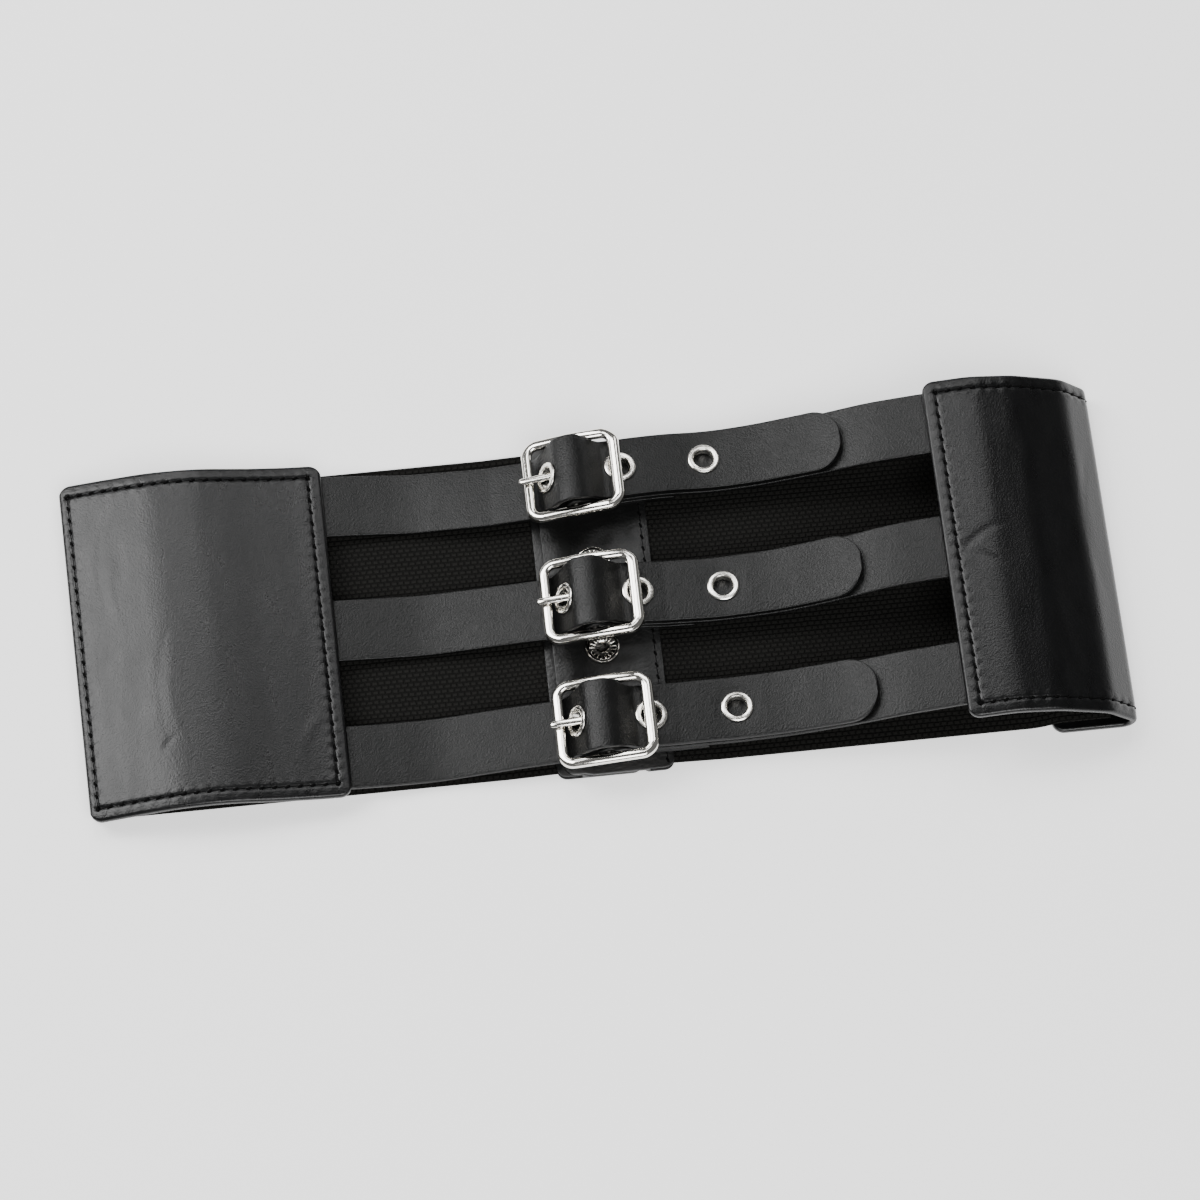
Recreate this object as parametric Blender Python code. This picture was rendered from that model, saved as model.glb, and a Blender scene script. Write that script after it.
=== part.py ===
"""Wide elastic waist belt, closed and lying flat on its back.

Two stitched panels sit at the folds of the loop. Three buckled straps join them in front, and two
halves of woven elastic with a press-stud closure join them behind. X runs along the belt, Y across
its width, and Z up from the surface that it lies on. The origin is below the middle of the belt.
"""

import math
from collections import namedtuple

import bmesh
import bpy
from mathutils import Matrix, Vector

MM = 0.001

# Loop: how far the folds reach from the closure, and how high the front stands
left_reach = 152.5 * MM
right_reach = 149.6 * MM
left_rise = 12.8 * MM
right_rise = 23.4 * MM
right_fold_radius = 4.6 * MM
left_lean = math.radians(1.9)
piece_gap = 0.3 * MM
metal_gap = 0.25 * MM

# Panels
left_panel_length = 76.6 * MM
right_panel_length = 80 * MM
panel_width = 104.8 * MM
left_panel_inner_width = 103 * MM
left_panel_droop = 1.1 * MM
panel_thickness = 2.4 * MM
panel_corner = 3.5 * MM
strap_lap = 14 * MM
elastic_lap = 13 * MM

# Elastic and closure tabs
elastic_width = 100 * MM
elastic_thickness = 1.2 * MM
tab_width = 103 * MM
tab_thickness = 1.2 * MM
tab_corner = 3 * MM
outer_tab_left = 17.4 * MM
outer_tab_right = 7.4 * MM
inner_tab_left = 15 * MM
inner_tab_right = 16.5 * MM
tab_slot_depth = 7.5 * MM
elastic_settle = 13 * MM

# Press studs
stud_spacing = 26.4 * MM
stud_offset = 0.5 * MM
stud_ring_radius = 5 * MM
stud_ring_height = 1.1 * MM
stud_hole_radius = 1.7 * MM
stud_shank_radius = 2.5 * MM
stud_cap_radius = 4.3 * MM
stud_cap_height = 0.5 * MM

# Straps
strap_width = 19 * MM
strap_thickness = 1.6 * MM
strap_pitch = 39.1 * MM
strap_gather = 1.3 * MM
strap_tip_radius = 8.7 * MM
strap_tip_length = 41 * MM
fold_back_length = 29 * MM
drift_left = -1 * MM
drift_right = 1.4 * MM
drift_share = 0.85
drift_start = -14 * MM
drift_end = 30 * MM
buckle_zone = 17 * MM
run_slope = math.radians(8)
approach_slope = math.radians(4)
arch_slope = math.radians(58)
arch_clearance = 0.8 * MM
arch_front = 5.4 * MM
arch_back = 2.8 * MM
arch_foot = 7.9 * MM
arch_bend = 2.4 * MM

# Eyelets
eyelet_pitch = 25 * MM
eyelet_radius = 4.6 * MM
eyelet_hole_radius = 2.9 * MM
eyelet_barrel = 0.35 * MM
eyelet_height = 0.6 * MM
eyelet_back_height = 0.3 * MM
eyelet_back_width = 0.5 * MM

# Buckles
frame_length = 29.4 * MM
frame_width = 26.9 * MM
frame_wire = 3 * MM
frame_height = 2.6 * MM
frame_corner = 5 * MM
centre_bar_radius = 1.3 * MM
prong_width = 2.3 * MM
prong_thickness = 1.3 * MM
prong_overhang = 0.9 * MM
prong_pull = 0.5 * MM

# Smoothness
arc_step = math.radians(11)
arc_pitch = 5 * MM
corner_steps = 5
ring_sides = 10
turned_steps = 16

# Heights that follow from the stacked layers
ply = tab_thickness / 2
tab_slot = elastic_thickness + 2 * metal_gap
fork_height = tab_slot + 2 * ply
layer_gap = metal_gap + eyelet_back_height + piece_gap
half_strap = strap_thickness / 2
fold_stack = 2 * elastic_thickness + 3 * piece_gap + panel_thickness
stud_x = -stud_offset

# Rows: side, buckle's distance left of the middle, its tilt and roll, slack right of it, and sway
Strap = namedtuple("Strap", "name row offset tilt roll slack sway")
STRAPS = [
    Strap("upper", 1, 4 * MM, math.radians(11.5), math.radians(-6), 1, 0.2 * MM),
    Strap("middle", 0, 2.4 * MM, math.radians(9), math.radians(-2.5), 1.05, -1.5 * MM),
    Strap("lower", -1, 2.4 * MM, math.radians(8), math.radians(-2), 0.9, 0.3 * MM),
]

# Outer face of the left panel: share of its reach from the fold, share of its rise above the fold
LEFT_CROWN = [(0, 0), (0.16, 0.42), (0.34, 0.86), (0.52, 1), (0.72, 0.64), (0.87, 0.46), (1.03, 0.42)]

# Outer face of the right panel: share of the right reach, share of its rise
RIGHT_CROWN = [(0.665, 0.945), (0.745, 1.005), (0.845, 0.925), (0.935, 0.66)]

# Slack of the straps right of the buckles: share of the way to the panel, share of its height
RIGHT_SLACK = [(0.22, 0.33), (0.41, 0.4), (0.6, 0.57), (0.81, 0.86)]

# Slack of the straps left of the buckles: share of the way to the panel, height above the elastic
LEFT_SLACK = [(0.5, 0.4 * MM), (0.78, 1.5 * MM)]

COLOURS = {
    "panel": (0.018, 0.019, 0.02, 0.38, 0),
    "strap": (0.03, 0.031, 0.03, 0.6, 0),
    "elastic": (0.008, 0.008, 0.007, 0.9, 0),
    "nickel": (0.82, 0.8, 0.75, 0.16, 1),
}


def ease(start, end, x):
    """Smooth step from 0 at start to 1 at end."""
    share = min(1.0, max(0.0, (x - start) / (end - start)))
    return share * share * (3 - 2 * share)


def lean(x):
    """Sideways slant of the loop, which grows towards the left fold."""
    return -math.tan(left_lean) * max(0.0, (-x - left_reach / 5) / (left_reach * 4 / 5))


# Routes are lists of (x, z) points, and corners are (x, z, radius)
def rounded(corners):
    """Route through the corners, each rounded with its radius by an arc."""
    points = [Vector(corners[0][:2])]
    for before, corner, after in zip(corners, corners[1:], corners[2:]):
        here = Vector(corner[:2])
        back = Vector(before[:2]) - here
        ahead = Vector(after[:2]) - here
        turn = math.pi - back.angle(ahead)
        if turn < 1e-4:
            continue
        reach = min(corner[2] * math.tan(turn / 2), 0.49 * back.length, 0.49 * ahead.length)
        radius = reach / math.tan(turn / 2)
        centre = here + (back.normalized() + ahead.normalized()).normalized() * (radius / math.cos(turn / 2))
        start = here + back.normalized() * reach - centre
        side = math.copysign(1, back.cross(ahead))
        steps = max(2, math.ceil(turn / arc_step), math.ceil(radius * turn / arc_pitch))
        for step in range(steps + 1):
            points.append(centre + turned_by(start, -side * turn * step / steps))
    points.append(Vector(corners[-1][:2]))
    return points


def turned_by(point, angle):
    """2D point turned about zero."""
    return Vector((point.x * math.cos(angle) - point.y * math.sin(angle),
                   point.x * math.sin(angle) + point.y * math.cos(angle)))


def arc(centre, radius, start, end):
    """Route round a circle between two angles."""
    steps = max(2, math.ceil(abs(end - start) / arc_step))
    angles = [start + (end - start) * step / steps for step in range(steps + 1)]
    return [centre + radius * Vector((math.cos(angle), math.sin(angle))) for angle in angles]


def normals(route):
    """Unit normals on the left of the route, at each of its points."""
    found = []
    for index in range(len(route)):
        ahead = route[min(index + 1, len(route) - 1)] - route[max(index - 1, 0)]
        found.append(Vector((-ahead.y, ahead.x)).normalized())
    return found


def moved_aside(route, distance):
    """Route at a distance on the left of another one."""
    return [point + normal * distance for point, normal in zip(route, normals(route))]


def lengths(route):
    """Distance along the route at each of its points."""
    total = [0.0]
    for before, after in zip(route, route[1:]):
        total.append(total[-1] + (after - before).length)
    return total


def point_at(route, distance):
    """Point and direction at a distance along the route."""
    along = lengths(route)
    distance = min(max(distance, 0.0), along[-1])
    for index in range(1, len(route)):
        if along[index] >= distance:
            span = route[index] - route[index - 1]
            share = (distance - along[index - 1]) / (along[index] - along[index - 1])
            return route[index - 1] + span * share, span.normalized()
    return route[-1], (route[-1] - route[-2]).normalized()


def stretch(route, start, end):
    """The part of a route between two distances along it."""
    inner = [point for point, along in zip(route, lengths(route)) if start + 1e-6 < along < end - 1e-6]
    return [point_at(route, start)[0]] + inner + [point_at(route, end)[0]]


def distance_to_x(route, x):
    """Distance along a route that runs in X to where it crosses x."""
    along = lengths(route)
    for index in range(1, len(route)):
        low, high = sorted((route[index - 1].x, route[index].x))
        if low <= x <= high and high > low:
            share = (x - route[index - 1].x) / (route[index].x - route[index - 1].x)
            return along[index - 1] + (along[index] - along[index - 1]) * share
    raise ValueError("the route does not reach that x")


def material(kind):
    """Principled material of one of the belt's finishes, a new one for each piece."""
    red, green, blue, roughness, metallic = COLOURS[kind]
    made = bpy.data.materials.new(kind)
    made.use_nodes = True
    shader = made.node_tree.nodes["Principled BSDF"]
    shader.inputs["Base Color"].default_value = (red, green, blue, 1)
    shader.inputs["Roughness"].default_value = roughness
    shader.inputs["Metallic"].default_value = metallic
    made.diffuse_color = (red, green, blue, 1)
    return made


def add_object(name, bm, kind, matrix=None):
    """Object from a bmesh, with its normals facing out, on the belt's empty."""
    bmesh.ops.recalc_face_normals(bm, faces=bm.faces)
    mesh = bpy.data.meshes.new(name)
    bm.to_mesh(mesh)
    bm.free()
    mesh.shade_smooth()
    mesh.set_sharp_from_angle(angle=math.radians(35))
    made = bpy.data.objects.new(name, mesh)
    bpy.context.collection.objects.link(made)
    made.parent = bpy.data.objects["belt"]
    if matrix is not None:
        made.matrix_local = matrix
    if kind:
        mesh.materials.append(material(kind))
    return made


def use_as_tool(tool, target, operation):
    """Boolean of a hidden tool on a target."""
    tool.hide_render = True
    tool.display_type = "WIRE"
    cut = target.modifiers.new(tool.name, "BOOLEAN")
    cut.operation = operation
    cut.object = tool


def loft(rings, closed=False):
    """Solid skin through rings of equal count, capped unless the last ring meets the first."""
    bm = bmesh.new()
    skins = [[bm.verts.new(point) for point in ring] for ring in rings]
    pairs = list(zip(skins, skins[1:])) + ([(skins[-1], skins[0])] if closed else [])
    for one, two in pairs:
        for index in range(len(one)):
            after = (index + 1) % len(one)
            bm.faces.new((one[index], one[after], two[after], two[index]))
    if not closed:
        bm.faces.new(skins[0])
        bm.faces.new(skins[-1])
    return bm


def with_stations(route, distances):
    """The route with extra points at the given distances along it."""
    along = lengths(route)
    wanted = [d for d in distances if min(abs(d - a) for a in along) > 0.02 * MM]
    pairs = list(zip(along, route)) + [(d, point_at(route, d)[0]) for d in wanted]
    return [point for distance, point in sorted(pairs, key=lambda pair: pair[0])]


def ribbon(route, thickness, half_width, place, start_corner=0.0, end_corner=0.0):
    """Strip along a route, with its half width given by length, and with rounded corners."""
    total = lengths(route)[-1]
    angles = [math.pi / 2 * step / corner_steps for step in range(corner_steps + 1)]
    extra = [start_corner * (1 - math.cos(angle)) for angle in angles if start_corner]
    extra += [total - end_corner * (1 - math.cos(angle)) for angle in angles if end_corner]
    route = with_stations(route, extra)
    rings = []
    for point, normal, along in zip(route, normals(route), lengths(route)):
        half = half_width(along)
        for corner, left in ((start_corner, along), (end_corner, total - along)):
            if left < corner:
                half -= corner - math.sqrt(max(0.0, corner ** 2 - (corner - left) ** 2))
        top = point + normal * thickness / 2
        bottom = point - normal * thickness / 2
        rings.append([place(side.x, across, side.y) for side, across in
                      ((top, -half), (top, half), (bottom, half), (bottom, -half))])
    return loft(rings)


def turned(profile, steps):
    """Solid turned round Z from a (radius, height) profile, closed or ending on the axis."""
    bm = bmesh.new()
    verts = [bm.verts.new((radius, 0, height)) for radius, height in profile]
    edges = [bm.edges.new(pair) for pair in zip(verts, verts[1:])]
    if min(radius for radius, height in profile) > 0:
        edges.append(bm.edges.new((verts[-1], verts[0])))
    bmesh.ops.spin(bm, geom=verts + edges, cent=(0, 0, 0), axis=(0, 0, 1), angle=2 * math.pi,
                   steps=steps, use_merge=True)
    bmesh.ops.remove_doubles(bm, verts=bm.verts, dist=0.01 * MM)
    return bm


def extruded(outline, width):
    """Solid of an (x, z) outline, extruded in Y about the middle."""
    bm = bmesh.new()
    face = bm.faces.new([bm.verts.new((x, -width / 2, z)) for x, z in outline])
    grown = bmesh.ops.extrude_face_region(bm, geom=[face])
    moving = [item for item in grown["geom"] if isinstance(item, bmesh.types.BMVert)]
    bmesh.ops.translate(bm, verts=moving, vec=(0, width, 0))
    return bm


def in_place(x, y, z):
    """Back of the loop: only the lean of the left fold is added."""
    return Vector((x + lean(x) * y, y, z))


def left_panel_place(x, y, z):
    """The left panel droops a little towards its inner edge."""
    return in_place(x, y - left_panel_droop * ease(-left_reach, left_panel_length - left_reach, x), z)


def left_panel_route():
    """Outer face of the left panel, from the fold to past its inner edge."""
    rise = left_rise - fold_stack
    corners = [(left_panel_length * reach - left_reach, fold_stack + rise * height, 60 * MM)
               for reach, height in LEFT_CROWN]
    return stretch(rounded(corners), 0, left_panel_length)


def right_panel_route():
    """Outer face of the right panel, from its inner edge round the fold to its end underneath."""
    corners = [(right_reach * reach, right_rise * height, 40 * MM) for reach, height in RIGHT_CROWN]
    x, z, radius = corners[-1]
    slope = math.radians(48)
    fold_x = right_reach + right_fold_radius * (math.tan(math.pi / 2 - slope / 2) - 1)
    corners[-1] = (fold_x - z / math.tan(slope), z, radius / 2)
    corners += [(fold_x, 0, right_fold_radius), (fold_x - right_panel_length, 0, 0)]
    return stretch(rounded(corners), 0, right_panel_length)


def add_panels():
    """The two panels; each is one solid with rounded corners."""
    taper = (panel_width - left_panel_inner_width) / 2
    bm = ribbon(moved_aside(left_panel_route(), -panel_thickness / 2), panel_thickness,
                lambda along: panel_width / 2 - taper * along / left_panel_length,
                left_panel_place, panel_corner, panel_corner)
    add_object("left_panel", bm, "panel")
    bm = ribbon(moved_aside(right_panel_route(), -panel_thickness / 2), panel_thickness,
                lambda along: panel_width / 2, in_place, panel_corner, panel_corner)
    add_object("right_panel", bm, "panel")


def add_elastic():
    """The two halves of the elastic, from the closure tabs to under the panels."""
    half = elastic_thickness / 2
    in_slot = ply + metal_gap + half
    lap_depth = -(panel_thickness + piece_gap + half)
    lap = moved_aside(left_panel_route(), lap_depth)
    fold_x = lap[0].x + piece_gap
    fold_top = point_at(lap, distance_to_x(lap, fold_x))[0]
    lap = stretch(lap, distance_to_x(lap, fold_x + 3 * elastic_thickness), elastic_lap)
    slot_end = outer_tab_left - tab_slot_depth + 2 * piece_gap
    fold = (fold_top.y - half) / 2
    left = rounded([(-slot_end, in_slot, 0), (-outer_tab_left - MM, in_slot, 20 * MM),
                    (-outer_tab_left - elastic_settle, half, 30 * MM), (fold_x, half, fold),
                    (fold_x, fold_top.y, fold), (lap[0].x, lap[0].y, 0)])
    add_object("elastic_left", ribbon(left + lap[1:], elastic_thickness,
                                      lambda along: elastic_width / 2, in_place), "elastic")

    panel_end = right_panel_route()[-1].x
    on_panel = -lap_depth
    slot_end = inner_tab_right - tab_slot_depth + 2 * piece_gap
    right = rounded([(slot_end, in_slot, 0), (inner_tab_right + MM, in_slot, 20 * MM),
                     (inner_tab_right + elastic_settle, half, 30 * MM),
                     (panel_end - 8 * MM, half, 12 * MM), (panel_end - 1.5 * MM, on_panel, 6 * MM),
                     (panel_end + elastic_lap, on_panel, 0)])
    add_object("elastic_right", ribbon(right, elastic_thickness, lambda along: elastic_width / 2,
                                       in_place), "elastic")


def rounded_block(left, right, width, corner, height):
    """Upright block with rounded corners in plan, which trims a tab."""
    bm = bmesh.new()
    ring = []
    for x, y, start in ((right, 1, 0), (left, 1, 1), (left, -1, 2), (right, -1, 3)):
        inward = corner if x == left else -corner
        centre = Vector((x + inward, y * (width / 2 - corner)))
        ring += arc(centre, corner, start * math.pi / 2, (start + 1) * math.pi / 2)
    face = bm.faces.new([bm.verts.new((point.x, point.y, -height)) for point in ring])
    grown = bmesh.ops.extrude_face_region(bm, geom=[face])
    moving = [item for item in grown["geom"] if isinstance(item, bmesh.types.BMVert)]
    bmesh.ops.translate(bm, verts=moving, vec=(0, 0, 3 * height))
    return bm


def stud_centres():
    """Places of the press studs, by name."""
    return {"upper": (stud_x, stud_spacing / 2), "lower": (stud_x, -stud_spacing / 2)}


def add_tab(name, outline, left, right):
    """A tab from its outline, with rounded corners and holes for the studs."""
    tab = add_object(name, extruded(outline, tab_width + 2 * MM), "panel")
    trim = add_object(name + "_trim", rounded_block(left, right, tab_width, tab_corner, fork_height * 2), None)
    use_as_tool(trim, tab, "INTERSECT")
    recess = stud_cap_height + metal_gap * 2
    for row, (x, y) in stud_centres().items():
        wide = stud_cap_radius + metal_gap
        bore = stud_shank_radius + metal_gap
        hole = turned([(0, -fork_height), (wide, -fork_height), (wide, recess), (bore, recess),
                       (bore, 3 * fork_height), (0, 3 * fork_height)], turned_steps)
        cutter = add_object(name + "_hole_" + row, hole, None, Matrix.Translation((x, y, 0)))
        use_as_tool(cutter, tab, "DIFFERENCE")


def add_closure():
    """The overlapping tabs. Each holds the end of its elastic in a slot between two plies."""
    slot_top = fork_height - ply
    ramp = 2.5 * MM
    fork_end = -outer_tab_left + tab_slot_depth
    outer = [(-outer_tab_left, 0), (outer_tab_right, 0), (outer_tab_right, tab_thickness),
             (fork_end + ramp, tab_thickness), (fork_end, fork_height), (-outer_tab_left, fork_height),
             (-outer_tab_left, slot_top), (fork_end - piece_gap, slot_top), (fork_end - piece_gap, ply),
             (-outer_tab_left, ply)]
    add_tab("closure_tab_outer", outer, -outer_tab_left, outer_tab_right)

    low = tab_thickness + piece_gap
    high = fork_height + piece_gap
    foot = inner_tab_right - tab_slot_depth
    inner = [(-inner_tab_left, high), (fork_end + piece_gap, high), (fork_end + ramp + piece_gap, low),
             (outer_tab_right + piece_gap, low), (foot - piece_gap, 0), (inner_tab_right, 0),
             (inner_tab_right, ply), (foot + piece_gap, ply), (foot + piece_gap, slot_top),
             (inner_tab_right, slot_top), (inner_tab_right, fork_height), (foot, fork_height),
             (foot - ramp, low + tab_thickness),
             (fork_end + ramp + 2 * piece_gap, low + tab_thickness),
             (fork_end + 2 * piece_gap, high + tab_thickness), (-inner_tab_left, high + tab_thickness)]
    add_tab("closure_tab_inner", inner, -inner_tab_left, inner_tab_right)

    seat = low + tab_thickness + metal_gap
    crown = seat + stud_ring_height
    floor = seat - stud_ring_height / 2
    under = metal_gap / 2
    profile = [(0, floor), (stud_hole_radius, floor), (stud_hole_radius, crown - stud_ring_height / 4),
               (stud_hole_radius + 0.6 * MM, crown), (stud_ring_radius - 0.5 * MM, crown),
               (stud_ring_radius, crown - 0.4 * MM), (stud_ring_radius, seat),
               (stud_shank_radius, seat), (stud_shank_radius, under + stud_cap_height),
               (stud_cap_radius, under + stud_cap_height), (stud_cap_radius, under), (0, under)]
    for row, (x, y) in stud_centres().items():
        add_object("press_stud_" + row, turned(profile, turned_steps + 4), "nickel",
                   Matrix.Translation((x, y, 0)))


class Buckle:
    """Place of a strap row's buckle: the bars' centres, seen along Y, and its tilt and roll."""

    def __init__(self, strap):
        self.strap = strap
        half_span = (frame_length - frame_wire) / 2
        bar = frame_height / 2
        raised = strap_width / 2 * math.sin(abs(strap.roll))
        self.clear = frame_wire / 2 + piece_gap + metal_gap + eyelet_height + half_strap
        tab_top = fork_height + piece_gap + tab_thickness
        left_z = tab_top + 2 * piece_gap + half_strap + raised + self.clear
        along = Vector((math.cos(strap.tilt), math.sin(strap.tilt)))
        self.centre = Vector((-strap.offset, left_z + half_span * along.y))
        self.left = self.centre - along * half_span
        self.right = self.centre + along * half_span
        self.along = along
        self.up = Vector((-along.y, along.x))
        self.prong_height = bar + metal_gap + prong_thickness / 2
        self.run_z = self.right.y - bar - piece_gap - metal_gap - eyelet_height - half_strap

    def run_at(self, x):
        """Point of the hole strap's run below the right bar."""
        return Vector((x, self.run_z - (x - self.right.x) * math.tan(run_slope)))

    def matrix(self):
        """Place of the buckle as a rigid body."""
        y = strap_centre(self.strap, self.centre.x)
        place = Matrix.Translation((self.centre.x, y, self.centre.y))
        return place @ Matrix.Rotation(self.strap.roll, 4, "X") @ Matrix.Rotation(-self.strap.tilt, 4, "Y")


def held(x):
    """Share of the buckle's hold on the strap: 1 next to the buckle, 0 at the panels."""
    left = ease(left_panel_length - left_reach, -buckle_zone, x)
    right = 1 - ease(buckle_zone, right_reach * RIGHT_CROWN[0][0], x)
    return min(left, right)


def strap_centre(strap, x):
    """Y of a strap's middle line: the rows draw together left of the buckles and drift up right of them."""
    gather = ease(left_panel_length - left_reach, -buckle_zone, x)
    right = drift_share * ease(drift_start, drift_end, x)
    right += (1 - drift_share) * ease(drift_end, right_reach * RIGHT_CROWN[0][0], x)
    panel = right_reach * RIGHT_CROWN[0][0]
    sway = strap.sway * ease(0, panel / 3, x) * (1 - ease(panel / 2, panel, x))
    drift = drift_left + (drift_right - drift_left) * right + sway
    return strap.row * (strap_pitch - strap_gather * gather * (1 - right)) + drift


def strap_place(buckle):
    """Place of a strap's points: rolled with its buckle and following its middle line."""
    def place(x, across, z):
        roll = buckle.strap.roll * held(x)
        above = z - buckle.centre.y
        y = strap_centre(buckle.strap, x) + across * math.cos(roll) - above * math.sin(roll)
        return in_place(x, y, buckle.centre.y + across * math.sin(roll) + above * math.cos(roll))
    return place


def buckle_strap_routes(buckle):
    """Middle lines of the buckle strap: its fold-back round the bar, and all of it."""
    depth = -(panel_thickness + piece_gap + half_strap)
    lap = stretch(moved_aside(right_panel_route(), depth), 0, strap_lap)
    drop = strap_thickness + layer_gap
    start = inner_tab_right
    way = lap[0].x - start
    corners = [buckle.run_at(buckle.centre.x + arch_foot + MM), buckle.run_at(start + 2 * MM)]
    corners = [(point.x, point.y - drop, 12 * MM) for point in corners]
    heights = [height * (buckle.strap.slack + (1 - buckle.strap.slack) * share ** 3) for share, height in RIGHT_SLACK]
    corners += [(start + way * share, lap[0].y * height, 80 * MM)
                for (share, _), height in zip(RIGHT_SLACK, heights)]
    radius = centre_bar_radius + piece_gap + half_strap
    upper_angle = tangent_angle(Vector(corners[0][:2]), buckle.centre, radius, 1)
    upper_foot = buckle.centre + radius * Vector((math.cos(upper_angle), math.sin(upper_angle)))
    upper = rounded([(upper_foot.x, upper_foot.y, 0)] + corners + [(lap[0].x, lap[0].y, 20 * MM)]
                    + [(lap[-1].x, lap[-1].y, 0)])
    upper = [point for point in upper if point.x < lap[0].x - 3 * MM] + lap

    back = strap_thickness + piece_gap
    under = moved_aside([point for point in upper if point.x > corners[0][0]], -back)
    fold_end = buckle.centre.x + fold_back_length
    under = [point for point in under if point.x < fold_end - MM] + [point_at(under, distance_to_x(under, fold_end))[0]]
    lower_angle = tangent_angle(under[0], buckle.centre, radius, -1)
    wrap = arc(buckle.centre, radius, lower_angle, upper_angle - 2 * math.pi)
    return under[::-1] + wrap + upper[1:]


def tangent_angle(point, centre, radius, side):
    """Angle on a circle where the tangent from a point touches it, above it or below it."""
    away = point - centre
    return math.atan2(away.y, away.x) + side * math.acos(radius / away.length)


def hole_strap_route(buckle):
    """Middle line of the hole strap, from under the left panel over the bar to its tip."""
    depth = -(panel_thickness + piece_gap + half_strap)
    panel = moved_aside(left_panel_route(), depth)
    lap = stretch(panel, lengths(panel)[-1] - strap_lap, lengths(panel)[-1])
    middle = (approach_slope + arch_slope) / 2
    bend = buckle.clear / math.cos((arch_slope - approach_slope) / 2)
    foot = buckle.left + bend * Vector((math.sin(middle), -math.cos(middle)))
    near = foot - Vector((math.cos(approach_slope), math.sin(approach_slope))) * 12 * MM
    bed = elastic_thickness + piece_gap + half_strap
    way = near.x - lap[-1].x
    corners = [(near.x - way * share, bed + height, 60 * MM) for share, height in LEFT_SLACK]
    crest = buckle.centre.y + centre_bar_radius + piece_gap + strap_thickness + arch_clearance + half_strap
    rise = crest - foot.y
    landing = buckle.run_at(buckle.centre.x + arch_foot)
    corners = [(lap[-1].x, lap[-1].y, 30 * MM)] + corners[::-1] + [
        (near.x, near.y, 40 * MM), (foot.x, foot.y, buckle.clear),
        (foot.x + rise / math.tan(arch_slope), crest, arch_bend),
        (buckle.centre.x + arch_back, crest, arch_bend), (landing.x, landing.y, arch_bend)]
    front = rounded([(lap[0].x, lap[0].y, 0)] + corners + [tuple(buckle.run_at(inner_tab_right + MM)) + (0,)])
    front = lap + [point for point in front if point.x > lap[-1].x + 3 * MM]
    below = buckle_strap_routes(buckle)
    turning = max(range(len(below)), key=lambda index: -below[index].x)
    above = moved_aside(below[turning:], strap_thickness + layer_gap)
    return front[:-1] + [point for point in above if point.x > inner_tab_right + 2 * MM]


def prong_eyelet_distance(route, buckle):
    """Distance along the hole strap to where the prong's middle line goes through it."""
    line = [(point - buckle.centre).dot(buckle.up) - buckle.prong_height for point in route]
    along = lengths(route)
    for index in range(1, len(route)):
        if route[index].x > buckle.left.x and line[index] >= 0 > line[index - 1]:
            share = -line[index - 1] / (line[index] - line[index - 1])
            return along[index - 1] + (along[index] - along[index - 1]) * share
    raise ValueError("the prong misses the strap")


def frame_on_strap(route, distance, place):
    """Matrix of a piece set square on a strap, with Z out of its upper face."""
    reach = eyelet_hole_radius
    before, point, after = (point_at(route, distance + side * reach)[0] for side in (-1, 0, 1))
    origin = place(point.x, 0, point.y)
    forward = (place(after.x, 0, after.y) - place(before.x, 0, before.y)).normalized()
    across = (place(point.x, reach, point.y) - origin).normalized()
    out = forward.cross(across).normalized()
    across = out.cross(forward)
    matrix = Matrix((forward, across, out)).transposed().to_4x4()
    matrix.translation = origin
    return matrix


def eyelet_profile():
    """Section of an eyelet: domed flange, barrel through the strap and rolled back."""
    hole = eyelet_hole_radius
    barrel = hole + eyelet_barrel
    top = half_strap + metal_gap
    back = -half_strap - metal_gap
    roll = barrel + eyelet_back_width
    low = back - eyelet_back_height
    crown = top + eyelet_height
    return [(hole, low), (roll - eyelet_back_height, low), (roll, back), (barrel, back), (barrel, top),
            (eyelet_radius, top), (eyelet_radius, top + eyelet_height / 3),
            (eyelet_radius - eyelet_height, crown), (barrel + eyelet_barrel / 2, crown),
            (hole, crown - eyelet_height / 2)]


def add_hole_strap(buckle):
    """A hole strap with its tip, its three holes and their eyelets."""
    strap = buckle.strap
    place = strap_place(buckle)
    route = hole_strap_route(buckle)
    first = prong_eyelet_distance(route, buckle) - prong_pull
    spots = [first + eyelet_pitch * step for step in range(3)]
    route = stretch(route, 0, spots[-1] + strap_tip_length)
    bm = ribbon(route, strap_thickness, lambda along: strap_width / 2, place, 0, strap_tip_radius)
    made = add_object("hole_strap_" + strap.name, bm, "strap")
    bore = eyelet_hole_radius + eyelet_barrel + metal_gap
    for number, spot in enumerate(spots, 1):
        matrix = frame_on_strap(route, spot, place)
        drill = turned([(0, -3 * MM), (bore, -3 * MM), (bore, 3 * MM), (0, 3 * MM)], turned_steps)
        cutter = add_object("%s_hole_%d" % (made.name, number), drill, None, matrix)
        use_as_tool(cutter, made, "DIFFERENCE")
        add_object("eyelet_%s_%d" % (strap.name, number), turned(eyelet_profile(), turned_steps),
                   "nickel", matrix)


def add_buckle_strap(buckle):
    """A buckle strap, folded round the centre bar, with a slot for the prong."""
    bm = ribbon(buckle_strap_routes(buckle), strap_thickness, lambda along: strap_width / 2,
                strap_place(buckle))
    made = add_object("buckle_strap_" + buckle.strap.name, bm, "strap")
    reach = centre_bar_radius + 2 * metal_gap + strap_thickness + 2 * MM
    slot = bmesh.new()
    bmesh.ops.create_cube(slot, size=1)
    bmesh.ops.scale(slot, verts=slot.verts, vec=(2 * reach, prong_width + 3 * metal_gap, 3 * reach))
    cutter = add_object(made.name + "_slot", slot, None, buckle.matrix())
    use_as_tool(cutter, made, "DIFFERENCE")


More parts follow.
